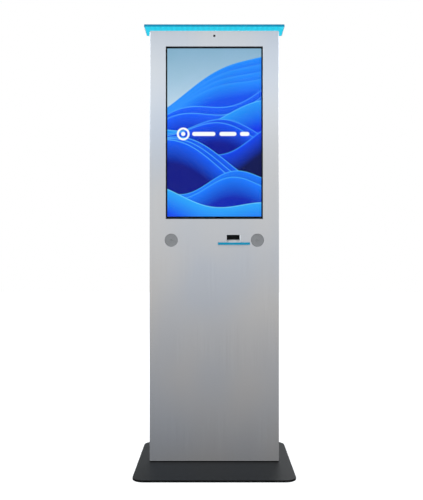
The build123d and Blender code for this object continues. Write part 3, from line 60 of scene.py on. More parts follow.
# %% Camera
CAMERA_DISTANCE = 2.720     # from the front panel
CAMERA_HEIGHT = 0.875
panel_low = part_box("front_panel")[0]
camera_data = bpy.data.cameras.new("camera")
camera_data.lens = 46.94
camera_data.shift_x = -0.0056
camera_data.shift_y = 0.0074
camera = bpy.data.objects.new("camera", camera_data)
camera.location = (0, panel_low.y - CAMERA_DISTANCE, CAMERA_HEIGHT)
camera.rotation_euler = (radians(90), 0, 0)
scene.collection.objects.link(camera)
scene.camera = camera
print("camera at", camera.location[:])

# %% [markdown]
# ## One helper for nodes, one for colours
# Shader and geometry trees are built from the same few moves: add a node, set its own properties, and
# give its inputs a value or a link. One function does all three, and a tuple that holds a link becomes
# a vector. Colours are written as sRGB hex codes, as on a paint chart, and shaders work on linear
# light, so a second function turns one into the other.


# %% The two helpers
LINKED = (bpy.types.Node, bpy.types.NodeSocket)


def add(tree, kind, inputs=None, stops=(), **settings):
    """Adds a node. An input takes a value, a node, an output, a list of nodes, or a tuple that has one."""
    made = tree.nodes.new(kind)
    for name, value in settings.items():
        setattr(made, name, value)
    for name, sources in (inputs or {}).items():
        for value in sources if isinstance(sources, list) else [sources]:
            if isinstance(value, tuple) and any(isinstance(part, LINKED) for part in value):
                value = add(tree, "ShaderNodeCombineXYZ", dict(enumerate(value)))
            if isinstance(value, bpy.types.Node):
                value = value.outputs[0]
            if isinstance(value, bpy.types.NodeSocket):
                tree.links.new(value, made.inputs[name])
            else:
                made.inputs[name].default_value = value
    if stops:
        ramp = made.color_ramp.elements
        ramp.remove(ramp[1])
        ramp[0].position, ramp[0].color = stops[0]
        for place, colour in stops[1:]:
            ramp.new(place).color = colour
    return made


def linear(code):
    """The linear colour of an sRGB hex code, with full alpha."""
    parts = [int(code[i:i + 2], 16) / 255 for i in (0, 2, 4)]
    return (*[c / 12.92 if c <= 0.04045 else ((c + 0.055) / 1.055) ** 2.4 for c in parts], 1.0)


# %% [markdown]
# ## Studio
# Brushed metal has almost no colour of its own: it shows the room. A product studio hangs a long
# graded sweep in front of such a panel, so that it goes from bright at the top to dark at the foot.
# Here the sweep is the world. Its light depends on height above the horizon alone, and the camera
# itself sees plain white paper. The floor is pale and matt. It is kept out of glossy reflections, as
# if the sweep came down to the kiosk's foot. Three large soft lamps shape the edges.

# %% The graded sweep
SWEEP = [
    # degrees above the horizon, the light that comes from there, and how cool it is
    (-90, 0.40, 0.0), (-32, 0.36, 0.0), (-25, 0.12, 0.0), (-20, 0.05, 0.0), (-17.5, 0.14, 0.0),
    (-15.5, 0.32, 0.0), (-13, 0.405, 0.0), (-10, 0.39, 0.0), (-7, 0.43, 0.0), (-4, 0.57, 0.0),
    (-1, 0.65, 0.0), (2, 0.69, 0.02), (4, 0.77, 0.06), (7, 0.55, 0.0), (9, 0.60, 0.02),
    (12, 1.02, 0.08), (15, 1.18, 0.09), (16.5, 1.10, 0.09), (18.2, 0.72, 0.08), (20, 0.56, 0.08),
    (40, 0.74, 0.03), (90, 0.85, 0.0),
]
world = bpy.data.worlds.new("studio")
scene.world = world
world.use_nodes = True
sky = world.node_tree
sky.nodes.clear()
height = add(sky, "ShaderNodeSeparateXYZ", {0: add(sky, "ShaderNodeTexCoord").outputs["Generated"]})
angle = add(sky, "ShaderNodeMath", {0: height.outputs["Z"]}, operation="ARCSINE")
share = add(sky, "ShaderNodeMapRange", {0: angle, 1: -pi / 2, 2: pi / 2})
stops = [
    ((turn + 90) / 180, (light * (1 - cool), light, light * (1 + cool), 1)) for turn, light, cool in SWEEP
]
sweep = add(sky, "ShaderNodeValToRGB", {0: share}, stops=stops)
graded = add(sky, "ShaderNodeBackground", {0: sweep})
paper = add(sky, "ShaderNodeBackground", {0: (1, 1, 1, 1), 1: 1.0})
seen = add(sky, "ShaderNodeLightPath").outputs["Is Camera Ray"]
add(sky, "ShaderNodeOutputWorld", {0: add(sky, "ShaderNodeMixShader", {0: seen, 1: graded, 2: paper})})
scene.view_settings.view_transform = "Standard"
print("sweep of", len(SWEEP), "stops")

# %% Floor and lamps
FLOOR_HALF = 12.0
FLOOR_GLOW = 0.45           # the floor's own light, which lifts the shade under the base
corners = [(x * FLOOR_HALF, y * FLOOR_HALF, 0.0) for x, y in ((-1, -1), (1, -1), (1, 1), (-1, 1))]
floor_mesh = bpy.data.meshes.new("studio_floor")
floor_mesh.from_pydata(corners, [], [(0, 1, 2, 3)])
floor = bpy.data.objects.new("studio_floor", floor_mesh)
scene.collection.objects.link(floor)
matt = bpy.data.materials.new("matt_white_paper")
matt.use_nodes = True
matt_shader = matt.node_tree.nodes["Principled BSDF"]
matt_shader.inputs["Base Color"].default_value = linear("f2f2f2")
matt_shader.inputs["Roughness"].default_value = 0.9
matt_shader.inputs["Specular IOR Level"].default_value = 0.1
matt_shader.inputs["Emission Color"].default_value = (1, 1, 1, 1)
matt_shader.inputs["Emission Strength"].default_value = FLOOR_GLOW
floor_mesh.materials.append(matt)
floor.visible_glossy = False

LAMPS = {                   # place in metres, and power in watts
    "lamp_left": ((-2.4, -2.2, 2.6), 22.0),
    "lamp_right": ((2.6, -1.6, 2.2), 14.0),
    "lamp_rear": ((0.6, 3.2, 2.8), 26.0),
}
LAMP_WIDTH = 1.6
LAMP_AIM = Vector((0, 0, 0.9))
for name, (place, power) in LAMPS.items():
    lamp_data = bpy.data.lights.new(name, "AREA")
    lamp_data.shape = "DISK"
    lamp_data.size = LAMP_WIDTH
    lamp_data.energy = power
    lamp = bpy.data.objects.new(name, lamp_data)
    lamp.location = place
    lamp.rotation_euler = (LAMP_AIM - lamp.location).to_track_quat("-Z", "Y").to_euler()
    scene.collection.objects.link(lamp)
print("floor and", len(LAMPS), "lamps")

# %% [markdown]
# ## A finish is relief, tone and gloss together
# Most finishes here are one story told three times: the same random grain is the relief that bends
# light, a small change of tone, and a small change of gloss. Painting those apart would make them
# disagree. So one function builds them from one noise. Its grain is given in millimetres along x, y
# and z: equal numbers make an orange peel, and one long number makes a brushed or drawn surface.
# Sheet metal is never knife-sharp, so a bevelled normal rounds the edges of the outer pieces.


# %% The grained finish, and how a node is dressed in it
Finish = namedtuple("Finish", "material tree shader place grain colour")


def grained(name, low, high, grain, depth, gloss, edge=0.0, detail=3.0, **sockets):
    """A finish of random relief: two tones, grain and depth in mm, and its least and most roughness."""
    material = bpy.data.materials.new(name)
    material.use_nodes = True
    tree = material.node_tree
    tree.nodes.clear()
    place = add(
        tree, "ShaderNodeVectorMath",
        {0: add(tree, "ShaderNodeTexCoord").outputs["Object"], "Scale": 1 / MM}, operation="SCALE",
    )
    spread = add(tree, "ShaderNodeVectorMath", {0: place, 1: grain}, operation="DIVIDE")
    noise = add(
        tree, "ShaderNodeTexNoise", {"Vector": spread, "Scale": 1.0, "Detail": detail, "Roughness": 0.6},
    )
    colour = add(tree, "ShaderNodeValToRGB", {0: noise}, stops=[(0.35, linear(low)), (0.65, linear(high))])
    rough = add(tree, "ShaderNodeMapRange", {0: noise, 1: 0.3, 2: 0.7, 3: gloss[0], 4: gloss[1]})
    bump = add(tree, "ShaderNodeBump", {"Height": noise, "Distance": depth * MM})
    if edge:
        rounded = add(tree, "ShaderNodeBevel", {"Radius": edge * MM}, samples=4)
        tree.links.new(rounded.outputs[0], bump.inputs["Normal"])
    shader = add(
        tree, "ShaderNodeBsdfPrincipled",
        {"Base Color": colour, "Roughness": rough, "Normal": bump, **sockets},
    )
    add(tree, "ShaderNodeOutputMaterial", {0: shader})
    return Finish(material, tree, shader, place, noise, colour)


def blend(tree, where, under, over):
    """One colour under, and another over it where the mask is 1."""
    return add(tree, "ShaderNodeMix", {0: where, 6: under, 7: over}, data_type="RGBA").outputs[2]


def axis_distance(finish, node):
    """Distance in mm from a CAD node's own axis, which runs along x."""
    low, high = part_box(node)
    middle = (low + high) / 2 / MM
    across = add(
        finish.tree, "ShaderNodeVectorMath", {0: finish.place, 1: (0, middle.y, middle.z)},
        operation="SUBTRACT",
    )
    turned = add(finish.tree, "ShaderNodeVectorMath", {0: across, 1: (0, 1, 1)}, operation="MULTIPLY")
    return add(finish.tree, "ShaderNodeVectorMath", {0: turned}, operation="LENGTH").outputs["Value"]


def dress(finish, *names):
    """Gives CAD nodes a finish."""
    for name in names:
        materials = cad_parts[name].data.materials
        materials.clear()
        materials.append(finish.material)
    print(finish.material.name, "on", ", ".join(names))


# %% [markdown]
# ## Brushed stainless steel
# The front panel is 2 mm stainless sheet, drawn under an abrasive belt from top to bottom. The belt
# leaves hair-thin scratches, here drawn about 1 mm wide so that they still show from three metres.
# Grain size along z is hundreds of times that along x, which is all that a brushed look needs. A
# metal's colour is its reflection, so the tone stays nearly white, and only a broad, faint drift
# from cool to warm changes it, in random patches.

# %% Brushed stainless steel
DRIFT = (340.0, 340.0, 520.0)           # size of the cool and warm patches, in mm
steel = grained(
    "brushed_stainless_steel", "e6e7e9", "edeef0", (1.1, 1.1, 320.0), 0.0035, (0.19, 0.25), edge=0.8,
    Metallic=1.0,
)
wide = add(steel.tree, "ShaderNodeVectorMath", {0: steel.place, 1: DRIFT}, operation="DIVIDE")
tints = add(steel.tree, "ShaderNodeTexNoise", {"Vector": wide, "Scale": 1.0, "Detail": 1.0})
cool_warm_drift = add(
    steel.tree, "ShaderNodeValToRGB", {0: tints}, stops=[(0.35, linear("f2f6fd")), (0.65, linear("fffcf9"))],
)
toned = add(steel.tree, "ShaderNodeVectorMath", {0: steel.colour, 1: cool_warm_drift}, operation="MULTIPLY")
steel.tree.links.new(toned.outputs[0], steel.shader.inputs["Base Color"])
dress(steel, "front_panel")

# %% [markdown]
# The speaker grilles are the same steel, punched. They are blanked from another sheet, and their
# punched edges scatter light, so they read a shade darker than the panel round them.

# %% Punched grilles
punched = grained(
    "punched_stainless_steel", "d6d7d9", "e2e3e5", (0.9, 0.9, 60.0), 0.006, (0.30, 0.40), Metallic=1.0,
)
dress(punched, "speaker_left_grille", "speaker_right_grille")

# %% [markdown]
# ## Powder coat
# The sides, top, kick panel and rear door are mild steel with a silver polyester powder coat. Powder
# melts into a skin with a soft orange peel about 2 mm across, and aluminium flakes in it give a
# quiet sparkle. The flakes are a cell noise that nudges the tone: one cell is 0.6 mm. The base
# plate's powder is black and dry-textured, with finer and deeper relief.

# %% Silver and black powder coat
FLAKE = 0.6                 # width of one aluminium flake's cell, in mm
silver = grained(
    "silver_polyester_powder_coat", "9b9d9f", "a6a8aa", (2.2, 2.2, 2.2), 0.035, (0.38, 0.48), edge=0.7,
    Metallic=0.55,
)
cells = add(silver.tree, "ShaderNodeVectorMath", {0: silver.place, "Scale": 1 / FLAKE}, operation="SCALE")
flakes = add(silver.tree, "ShaderNodeTexVoronoi", {"Vector": cells, "Scale": 1.0})
glint = add(silver.tree, "ShaderNodeMapRange", {0: flakes.outputs["Color"], 3: 0.93, 4: 1.07})
sparkling = add(silver.tree, "ShaderNodeVectorMath", {0: silver.colour, "Scale": glint}, operation="SCALE")
silver.tree.links.new(sparkling.outputs[0], silver.shader.inputs["Base Color"])
dress(silver, "side_panel_left", "side_panel_right", "top_panel", "rear_kick_panel", "rear_door")

black_powder = grained(
    "black_textured_powder_coat", "060606", "0d0d0c", (0.9, 0.9, 0.9), 0.03, (0.40, 0.50), edge=0.5,
    **{"Specular IOR Level": 0.11},
)
dress(black_powder, "base_plate")

# %% [markdown]
# ## Cyan enamel, and acrylic with painted light
# The canopy's folded sheet and the ticket tray are sprayed with a gloss enamel. It is a smooth film
# with a faint long ripple, so its grain is wide and shallow. Under the canopy is a 3 mm sheet of
# cyan acrylic, opal inside, with a strip of diodes above it. Its brightness is painted light, which
# stands in for the light on the underside: an almost even emission, with a painted pool of light
# under each diode, the same cosine along x, at the diodes' pitch.

# %% Cyan enamel
enamel = grained(
    "cyan_gloss_enamel", "0882a6", "0b8aae", (9.0, 9.0, 9.0), 0.006, (0.14, 0.20), edge=0.5,
    **{"Specular IOR Level": 0.2},
)
dress(enamel, "canopy_shell", "ticket_tray")

# %% Acrylic with painted light
LED_COUNT = 24
strip_low, strip_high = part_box("canopy_led_strip")
led_pitch = (strip_high.x - strip_low.x) / LED_COUNT / MM
acrylic = grained(
    "cyan_opal_acrylic_painted_light", "035a70", "04627a", (30.0, 30.0, 30.0), 0.002, (0.22, 0.30),
    **{"Specular IOR Level": 0.2},
)
across = add(acrylic.tree, "ShaderNodeSeparateXYZ", {0: acrylic.place})
# Painted light: this emission stands in for the light on the canopy's underside, with a painted pool of light
# under each diode.
phase = add(acrylic.tree, "ShaderNodeMath", {0: across, 1: 2 * pi / led_pitch}, operation="MULTIPLY")
ripple = add(acrylic.tree, "ShaderNodeMath", {0: phase}, operation="COSINE")
painted_glow_strength = add(acrylic.tree, "ShaderNodeMapRange", {0: ripple, 1: 1.0, 2: -1.0, 3: 0.74, 4: 0.82})
acrylic.shader.inputs["Emission Color"].default_value = linear("0cd4f0")
acrylic.tree.links.new(painted_glow_strength.outputs[0], acrylic.shader.inputs["Emission Strength"])
dress(acrylic, "canopy_diffuser")

# %% [markdown]
# ## Touch glass and the lit display
# The touch glass is 4 mm float glass, hard, clear and thinly coated against reflections, so little
# but its edge shows. Behind an air gap stands the display module. Its steel cover is seen only from
# behind. In front it has a black border and the lit area, which here shows a plain picture of
# layered waves: each is a sine line on a slope, with a bright rim and a body that darkens below it,
# laid over the one before, and some are pleated. A loop draws them, because a picture file would be
# a texture, and a texture can't be changed by a number.

# %% Touch glass
COATED_IOR = 1.14           # a coated face reflects as little as this index would
glass = grained(
    "coated_float_glass", "f6fbf9", "ffffff", (200.0, 200.0, 200.0), 0.0, (0.0, 0.01),
    **{"Transmission Weight": 1.0, "IOR": COATED_IOR},
)
dress(glass, "touch_glass")

# %% Display picture
LIT_HALF_X, LIT_HALF_Z = 196.45, 351.5      # a 32 inch panel stood on end, in mm
LIT_UP = 2.4                # the cells sit this far above the middle of their steel cover
WAVES = [
    # level, slope, height, length in mm, phase in degrees; rim, body and foot; fall in mm; pleats and drop
    (226, 0.52, 26, 560, 80, "49b4fe", "1c8cff", "0a50f2", 62, 4, 21),
    (118, 0.36, 34, 500, 200, "5cc8ff", "0f60ff", "001cc4", 84, 2, 27),
    (66, 0.16, 38, 620, 330, "63ccff", "1f98ff", "0436ea", 112, 1, 0),
    (16, -0.10, 44, 540, 60, "58c4ff", "0a52f8", "000f92", 88, 2, 15),
    (-56, 0.22, 42, 480, 240, "4ab8ff", "0844f0", "00094e", 98, 1, 0),
    (-104, -0.30, 48, 600, 150, "60ccff", "0c5efa", "000e84", 100, 3, 17),
    (-206, 0.12, 36, 420, 20, "54c4ff", "147aff", "0022b4", 88, 2, 22),
    (-284, -0.16, 28, 520, 280, "7ae0ff", "2aa8ff", "064af0", 100, 1, 0),
]
PLEAT_TURN = 0.035          # each pleat is a little flatter than the one above
RIM_SHARE = 0.05            # of the fall, where the bright rim turns into the body
SOFT = 0.8                  # half the width of a drawn edge, in mm
screen_low, screen_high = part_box("lcd_module")
display = grained(
    "lit_display_module", "8f9193", "a2a4a6", (3.0, 3.0, 3.0), 0.02, (0.35, 0.5),
    **{"Specular IOR Level": 0.1},
)
centre = (0, 0, (screen_low.z + screen_high.z) / 2 / MM + LIT_UP)
centred = add(display.tree, "ShaderNodeVectorMath", {0: display.place, 1: centre}, operation="SUBTRACT")
rise = add(display.tree, "ShaderNodeSeparateXYZ", {0: centred})
SKY_FOOT = 60.0             # where the pale sky is palest, above the middle, in mm
picture = add(
    display.tree, "ShaderNodeValToRGB",
    {0: add(display.tree, "ShaderNodeMapRange", {0: rise.outputs["Z"], 1: SKY_FOOT, 2: LIT_HALF_Z})},
    stops=[(0.0, linear("c4dcec")), (0.5, linear("a4c6de")), (1.0, linear("86b0cc"))],
).outputs[0]
for level, slope, tall, length, phase, rim, body, foot, fall, pleats, drop in WAVES:
    for pleat in range(pleats):
        swing = add(
            display.tree, "ShaderNodeMath", {0: rise, 1: 2 * pi / length, 2: radians(phase + 9 * pleat)},
            operation="MULTIPLY_ADD",
        )
        wave = add(display.tree, "ShaderNodeMath", {0: swing}, operation="SINE")
        line = add(
            display.tree, "ShaderNodeMath", {0: wave, 1: tall, 2: level - drop * pleat},
            operation="MULTIPLY_ADD",
        )
        tilted = add(
            display.tree, "ShaderNodeMath", {0: rise, 1: slope - PLEAT_TURN * pleat, 2: line},
            operation="MULTIPLY_ADD",
        )
        below = add(display.tree, "ShaderNodeMath", {0: tilted, 1: rise.outputs["Z"]}, operation="SUBTRACT")
        fade = add(
            display.tree, "ShaderNodeValToRGB",
            {0: add(display.tree, "ShaderNodeMapRange", {0: below, 1: 0.0, 2: float(fall)})},
            stops=[(0.0, linear(rim)), (RIM_SHARE, linear(body)), (1.0, linear(foot))],
        )
        cover = add(display.tree, "ShaderNodeMapRange", {0: below, 1: -SOFT, 2: SOFT})
        picture = blend(display.tree, cover, picture, fade)
print(len(WAVES), "waves with their pleats in", len(display.tree.nodes), "nodes")

# %% [markdown]
# Over the waves a kiosk shows a hint to touch it. It holds no words: a white ring with a dot in it,
# and three rounded bars. A distance to a point makes the ring, and a distance to a short line makes
# a bar, so both are a few sums on the same coordinates.

# %% Touch hint
HINT_Z = -6.0               # height of the hint above the middle of the lit area, in mm
RING_X, RING_R, LINE_HALF = -130.0, 22.5, 4.0           # centre, radius and half the line's width
DOT_R = 8.5
BARS = [(-84.0, -4.0), (30.0, 84.0), (116.0, 138.0)]    # where each bar starts and ends
BAR_HALF = 8.5
flat = add(display.tree, "ShaderNodeVectorMath", {0: centred, 1: (1, 0, 1)}, operation="MULTIPLY")
reach = add(
    display.tree, "ShaderNodeVectorMath", {0: flat, 1: (RING_X, 0, HINT_Z)}, operation="DISTANCE",
).outputs["Value"]
to_line = add(display.tree, "ShaderNodeMath", {0: reach, 1: RING_R}, operation="SUBTRACT")
off_line = add(display.tree, "ShaderNodeMath", {0: to_line}, operation="ABSOLUTE")
distances = [(off_line, LINE_HALF), (reach, DOT_R)]
for start, end in BARS:
    near = add(display.tree, "ShaderNodeClamp", {0: rise, 1: start, 2: end})
    gap = add(display.tree, "ShaderNodeVectorMath", {0: flat, 1: (near, 0.0, HINT_Z)}, operation="DISTANCE")
    distances.append((gap.outputs["Value"], BAR_HALF))
for distance, half in distances:
    drawn = add(display.tree, "ShaderNodeMapRange", {0: distance, 1: half + SOFT, 2: half - SOFT})
    picture = blend(display.tree, drawn, picture, (1, 1, 1, 1))
print("a ring, a dot and", len(BARS), "bars")

# %% Lit area, black border and steel cover
FRONT_SKIN = 0.5            # how far behind the front face the lit layer reaches, in mm
facing = add(
    display.tree, "ShaderNodeMath", {0: rise.outputs["Y"], 1: screen_low.y / MM + FRONT_SKIN},
    operation="LESS_THAN",
)
lit = facing
for along, half in (("X", LIT_HALF_X), ("Z", LIT_HALF_Z)):
    offset = add(display.tree, "ShaderNodeMath", {0: rise.outputs[along]}, operation="ABSOLUTE")
    within = add(display.tree, "ShaderNodeMath", {0: offset, 1: half}, operation="LESS_THAN")
    lit = add(display.tree, "ShaderNodeMath", {0: lit, 1: within}, operation="MULTIPLY")
covered = blend(display.tree, facing, display.colour, linear("050506"))
display.tree.links.new(covered, display.shader.inputs["Base Color"])
display.tree.links.new(picture, display.shader.inputs["Emission Color"])
display.tree.links.new(lit.outputs[0], display.shader.inputs["Emission Strength"])
dress(display, "lcd_module")

# %% [markdown]
# ## Plastics
# Moulded parts copy the spark-eroded skin of their mould: a fine, even grain that takes the shine
# off. The printer's frame and mouth, the fan, the camera body and the sockets are black ABS. Gears
# are natural acetal, waxy and a little translucent, the head's release lever is green so that a
# person finds it, the ticket chute is silver ABS, and the switch rocker is polished.

# %% Moulded plastics
abs_black = grained("black_moulded_abs", "0c0c0d", "171718", (0.5, 0.5, 0.5), 0.02, (0.42, 0.56), edge=0.3)
dress(
    abs_black, "printer_mouth", "printer_frame", "camera_housing", "fan_frame", "fan_rotor", "power_inlet",
    "network_socket", "switch_housing",
)
abs_silver = grained("silver_moulded_abs", "e2e3e5", "eceded", (0.8, 0.8, 0.8), 0.01, (0.34, 0.44))
dress(abs_silver, "ticket_chute")
acetal = grained("natural_acetal", "e2dfd2", "efece1", (4.0, 4.0, 4.0), 0.004, (0.28, 0.38))
acetal.shader.inputs["Subsurface Weight"].default_value = 0.15
acetal.shader.inputs["Subsurface Scale"].default_value = 0.001
dress(acetal, "platen_gear", "motor_gear")
abs_green = grained("green_moulded_abs", "1d8a3c", "259a46", (0.6, 0.6, 0.6), 0.015, (0.32, 0.42), edge=0.3)
dress(abs_green, "release_lever")
gloss_black = grained(
    "polished_black_nylon", "08080a", "0e0e10", (3.0, 3.0, 3.0), 0.004, (0.10, 0.16), edge=0.4,
)
dress(gloss_black, "switch_rocker")

# %% [markdown]
# ## Rubber, foam, sheath and paper
# The gasket and the door seal are closed-cell EPDM foam, whose skin is full of tiny pits: a cell
# noise with deep relief. The platen is ground rubber on a bright shaft, told apart by distance from
# the axis. The cables have a PVC sheath with a satin skin. The speaker cones are pressed paper pulp,
# where fibres cross at random. The ticket roll shows its turns as rings on its two ends.

# %% Foam and sheath
foam = grained("epdm_foam", "0a0a0b", "1b1b1c", (0.7, 0.7, 0.7), 0.18, (0.82, 0.95), detail=1.0)
dress(foam, "glass_gasket")
sheath = grained("pvc_cable_sheath", "0e0e10", "19191b", (1.4, 1.4, 9.0), 0.015, (0.36, 0.50))
dress(sheath, "mains_cable", "display_cable")

# %% Rubber platen on a steel shaft
PLATEN_RUBBER_R = 2.9       # between the shaft's radius and the rubber's, in mm
rubber = grained("ground_platen_rubber", "141415", "222223", (0.25, 4.0, 4.0), 0.01, (0.62, 0.78))
radius = axis_distance(rubber, "platen_roller")
shaft = add(rubber.tree, "ShaderNodeMath", {0: radius, 1: PLATEN_RUBBER_R}, operation="LESS_THAN")
two = blend(rubber.tree, shaft, rubber.colour, linear("c9cbcd"))
rubber.tree.links.new(two, rubber.shader.inputs["Base Color"])
rubber.tree.links.new(shaft.outputs[0], rubber.shader.inputs["Metallic"])
dress(rubber, "platen_roller")

# %% Pulp cones and ticket roll
pulp = grained("pressed_paper_pulp", "3c3c40", "58585d", (0.35, 1.2, 0.8), 0.05, (0.75, 0.9), detail=5.0)
dress(pulp, "speaker_left_cone", "speaker_right_cone")
TURN_MM = 0.35              # the paper is 0.06 mm thick; its turns are drawn coarser, so that they show
ticket = grained("thermal_paper", "ecebe6", "f6f5f1", (0.4, 0.4, 0.4), 0.006, (0.42, 0.55))
radius = axis_distance(ticket, "paper_roll")
turns = add(ticket.tree, "ShaderNodeMath", {0: radius, 1: 2 * pi / TURN_MM}, operation="MULTIPLY")
winding = add(ticket.tree, "ShaderNodeMath", {0: turns}, operation="SINE")
worn = add(ticket.tree, "ShaderNodeMapRange", {0: winding, 1: -1.0, 2: 1.0, 3: 0.86, 4: 1.0})
toned = add(ticket.tree, "ShaderNodeVectorMath", {0: ticket.colour, "Scale": worn}, operation="SCALE")
ticket.tree.links.new(toned.outputs[0], ticket.shader.inputs["Base Color"])
dress(ticket, "paper_roll")

# %% [markdown]
# ## Bare and plated metals
# Brackets are zinc-plated sheet with soft blotches where the bath crystallised. Screws are brighter,
# turned and tumbled. Hinges are polished stainless, locks are nickel on a die casting, the computer
# is black anodised extrusion, the supply's case is mill-finish aluminium with its rolling lines
# along x, and the speakers add pressed steel and a dull ferrite ring.

# %% Metals
METALS = {
    "zinc_plated_sheet": (
        ("a8abad", "c3c6c8", (11.0, 11.0, 11.0), 0.01, (0.28, 0.48), 0.4),
        ["foot_channel", "display_rail_upper", "display_rail_lower", "mounting_plate"],
    ),
    "bright_zinc_screws": (
        ("b6babd", "d2d5d7", (0.8, 0.8, 0.8), 0.008, (0.20, 0.34), 0.2),
        ["foot_bolts", "panel_nuts", "panel_screws", "door_screws"],
    ),
    "polished_stainless": (
        ("c4c5c6", "d6d7d8", (0.6, 0.6, 30.0), 0.004, (0.14, 0.24), 0.2),
        ["hinge_frame_leaves", "hinge_door_leaves", "hinge_pins"],
    ),
    "nickel_plated_casting": (
        ("b9b4a8", "cfcabf", (2.5, 2.5, 2.5), 0.012, (0.16, 0.28), 0.3),
        ["lock_barrels", "lock_upper_cam", "lock_lower_cam"],
    ),
    "black_anodised_aluminium": (
        ("1c1d1f", "28292b", (0.5, 0.5, 25.0), 0.012, (0.36, 0.48), 0.4), ["mini_pc"],
    ),
    "mill_finish_aluminium": (
        ("b0b2b4", "c4c6c8", (60.0, 0.9, 0.9), 0.012, (0.30, 0.44), 0.3), ["power_supply"],
    ),
    "pressed_black_steel": (
        ("202123", "303134", (1.5, 1.5, 1.5), 0.02, (0.34, 0.46), 0.3),
        ["speaker_left_basket", "speaker_right_basket"],
    ),
    "drawn_steel_can": (
        ("9a9c9e", "b4b6b8", (20.0, 0.7, 0.7), 0.008, (0.26, 0.38), 0.2), ["printer_motor"],
    ),
}
metals = {}
for name, (numbers, nodes) in METALS.items():
    metals[name] = grained(name, *numbers, Metallic=1.0)
    dress(metals[name], *nodes)
ferrite = grained("sintered_ferrite", "1d1e20", "2b2c2e", (1.2, 1.2, 1.2), 0.04, (0.55, 0.72), edge=0.3)
dress(ferrite, "speaker_left_magnet", "speaker_right_magnet")

# %% [markdown]
# ## Pieces of two materials
# The print head is a brown glazed ceramic strip on a black anodised bar. The light strip is a white
# circuit board with phosphor-yellow diodes. The camera's lens is a dark coated glass. Each is one
# solid, so height tells the materials apart.

# %% Print head, light strip and lens
CERAMIC_T = 1.2             # of the print head's strip, in mm
DIODE_T = 0.7               # of the diodes under their board, in mm
head = grained("ceramic_print_head", "17181a", "222325", (12.0, 0.6, 0.6), 0.008, (0.36, 0.48))
head_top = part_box("print_head")[1].z / MM
level = add(head.tree, "ShaderNodeSeparateXYZ", {0: head.place}).outputs["Z"]
strip = add(head.tree, "ShaderNodeMath", {0: level, 1: head_top - CERAMIC_T}, operation="GREATER_THAN")
two = blend(head.tree, strip, head.colour, linear("2c2722"))
bare = add(head.tree, "ShaderNodeMath", {0: 1.0, 1: strip}, operation="SUBTRACT")
head.tree.links.new(two, head.shader.inputs["Base Color"])
head.tree.links.new(bare.outputs[0], head.shader.inputs["Metallic"])
dress(head, "print_head")

board = grained("white_led_board", "e6e8e6", "f2f4f2", (2.0, 2.0, 2.0), 0.01, (0.34, 0.46))
level = add(board.tree, "ShaderNodeSeparateXYZ", {0: board.place}).outputs["Z"]
diode = add(board.tree, "ShaderNodeMath", {0: level, 1: strip_high.z / MM - DIODE_T}, operation="LESS_THAN")
two = blend(board.tree, diode, board.colour, linear("f2e36a"))
board.tree.links.new(two, board.shader.inputs["Base Color"])
board.shader.inputs["Emission Color"].default_value = linear("dff6ff")
board.tree.links.new(diode.outputs[0], board.shader.inputs["Emission Strength"])
dress(board, "canopy_led_strip")

lens = grained("coated_lens_glass", "07070c", "120c20", (6.0, 6.0, 6.0), 0.0, (0.02, 0.05))
lens.shader.inputs["Coat Weight"].default_value = 0.2
lens.shader.inputs["Coat Roughness"].default_value = 0.02
lens.shader.inputs["Specular IOR Level"].default_value = 0.2
dress(lens, "camera_lens")

# %% [markdown]
# ## Pieces that repeat
# Louvres, guard wires, a seal that follows a frame, clips along a cable: each is one rule said many
# times. Modelling every copy by hand would hide the rule, so Geometry Nodes make them. A tree gets
# its sizes as named inputs, and ends in real faces with their material. Its result is then kept as
# a plain mesh that rides on a body of the frame, and the modifier goes.


# %% How a tree is opened, closed and run
def open_tree(name, **sizes):
    """A new Geometry Nodes tree with one named input for each size. Returns the tree and its input node."""
    tree = bpy.data.node_groups.new(name, "GeometryNodeTree")
    tree.is_modifier = True
    tree.interface.new_socket("Geometry", in_out="OUTPUT", socket_type="NodeSocketGeometry")
    for label, value in sizes.items():
        kind = "NodeSocketInt" if isinstance(value, int) else "NodeSocketFloat"
        tree.interface.new_socket(label, in_out="INPUT", socket_type=kind).default_value = value
    return tree, add(tree, "NodeGroupInput").outputs


def run_tree(tree, geometry, finish, body, slot, **sizes):
    """Closes the tree, runs it with its sizes and keeps the result as a plain mesh that rides on a body."""
    real = add(tree, "GeometryNodeRealizeInstances", {0: geometry})
    painted = add(tree, "GeometryNodeSetMaterial", {0: real, "Material": finish.material})
    add(tree, "NodeGroupOutput", {0: painted})
    piece = bpy.data.objects.new(tree.name, bpy.data.meshes.new(tree.name))
    scene.collection.objects.link(piece)
    maker = piece.modifiers.new("maker", "NODES")
    maker.node_group = tree
    for socket in tree.interface.items_tree:
        if socket.in_out == "INPUT":
            maker[socket.identifier] = sizes[socket.name]
    evaluated = piece.evaluated_get(bpy.context.evaluated_depsgraph_get())
    mesh = bpy.data.meshes.new_from_object(evaluated)
    piece.modifiers.remove(maker)
    piece.data = mesh
    mesh.shade_smooth()
    mesh.set_sharp_from_angle(angle=radians(38))
    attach(piece, body)
    low = [min(v.co[i] for v in mesh.vertices) / MM for i in range(3)]
    high = [max(v.co[i] for v in mesh.vertices) / MM for i in range(3)]
    print(tree.name, len(mesh.polygons), "faces, mm", [round(v, 1) for v in low], [round(v, 1) for v in high])
    return piece


# %% Rows, and the two ways a flat drawing is stood up
FACING_FRONT = (radians(90), 0, 0)      # a piece drawn in x and y gets its top turned to the front
FACING_REAR = (radians(-90), 0, 0)      # the same, with its top turned to the rear
HERE = (0, 0, 0)


def row(tree, piece, count, start, step, **fields):
    """Copies a piece along a straight line, from its start, by its step. Fields scale or turn the copies."""
    places = add(tree, "GeometryNodeMeshLine", {"Count": count, "Start Location": start, "Offset": step})
    return add(tree, "GeometryNodeInstanceOnPoints", {0: places, "Instance": piece, **fields})


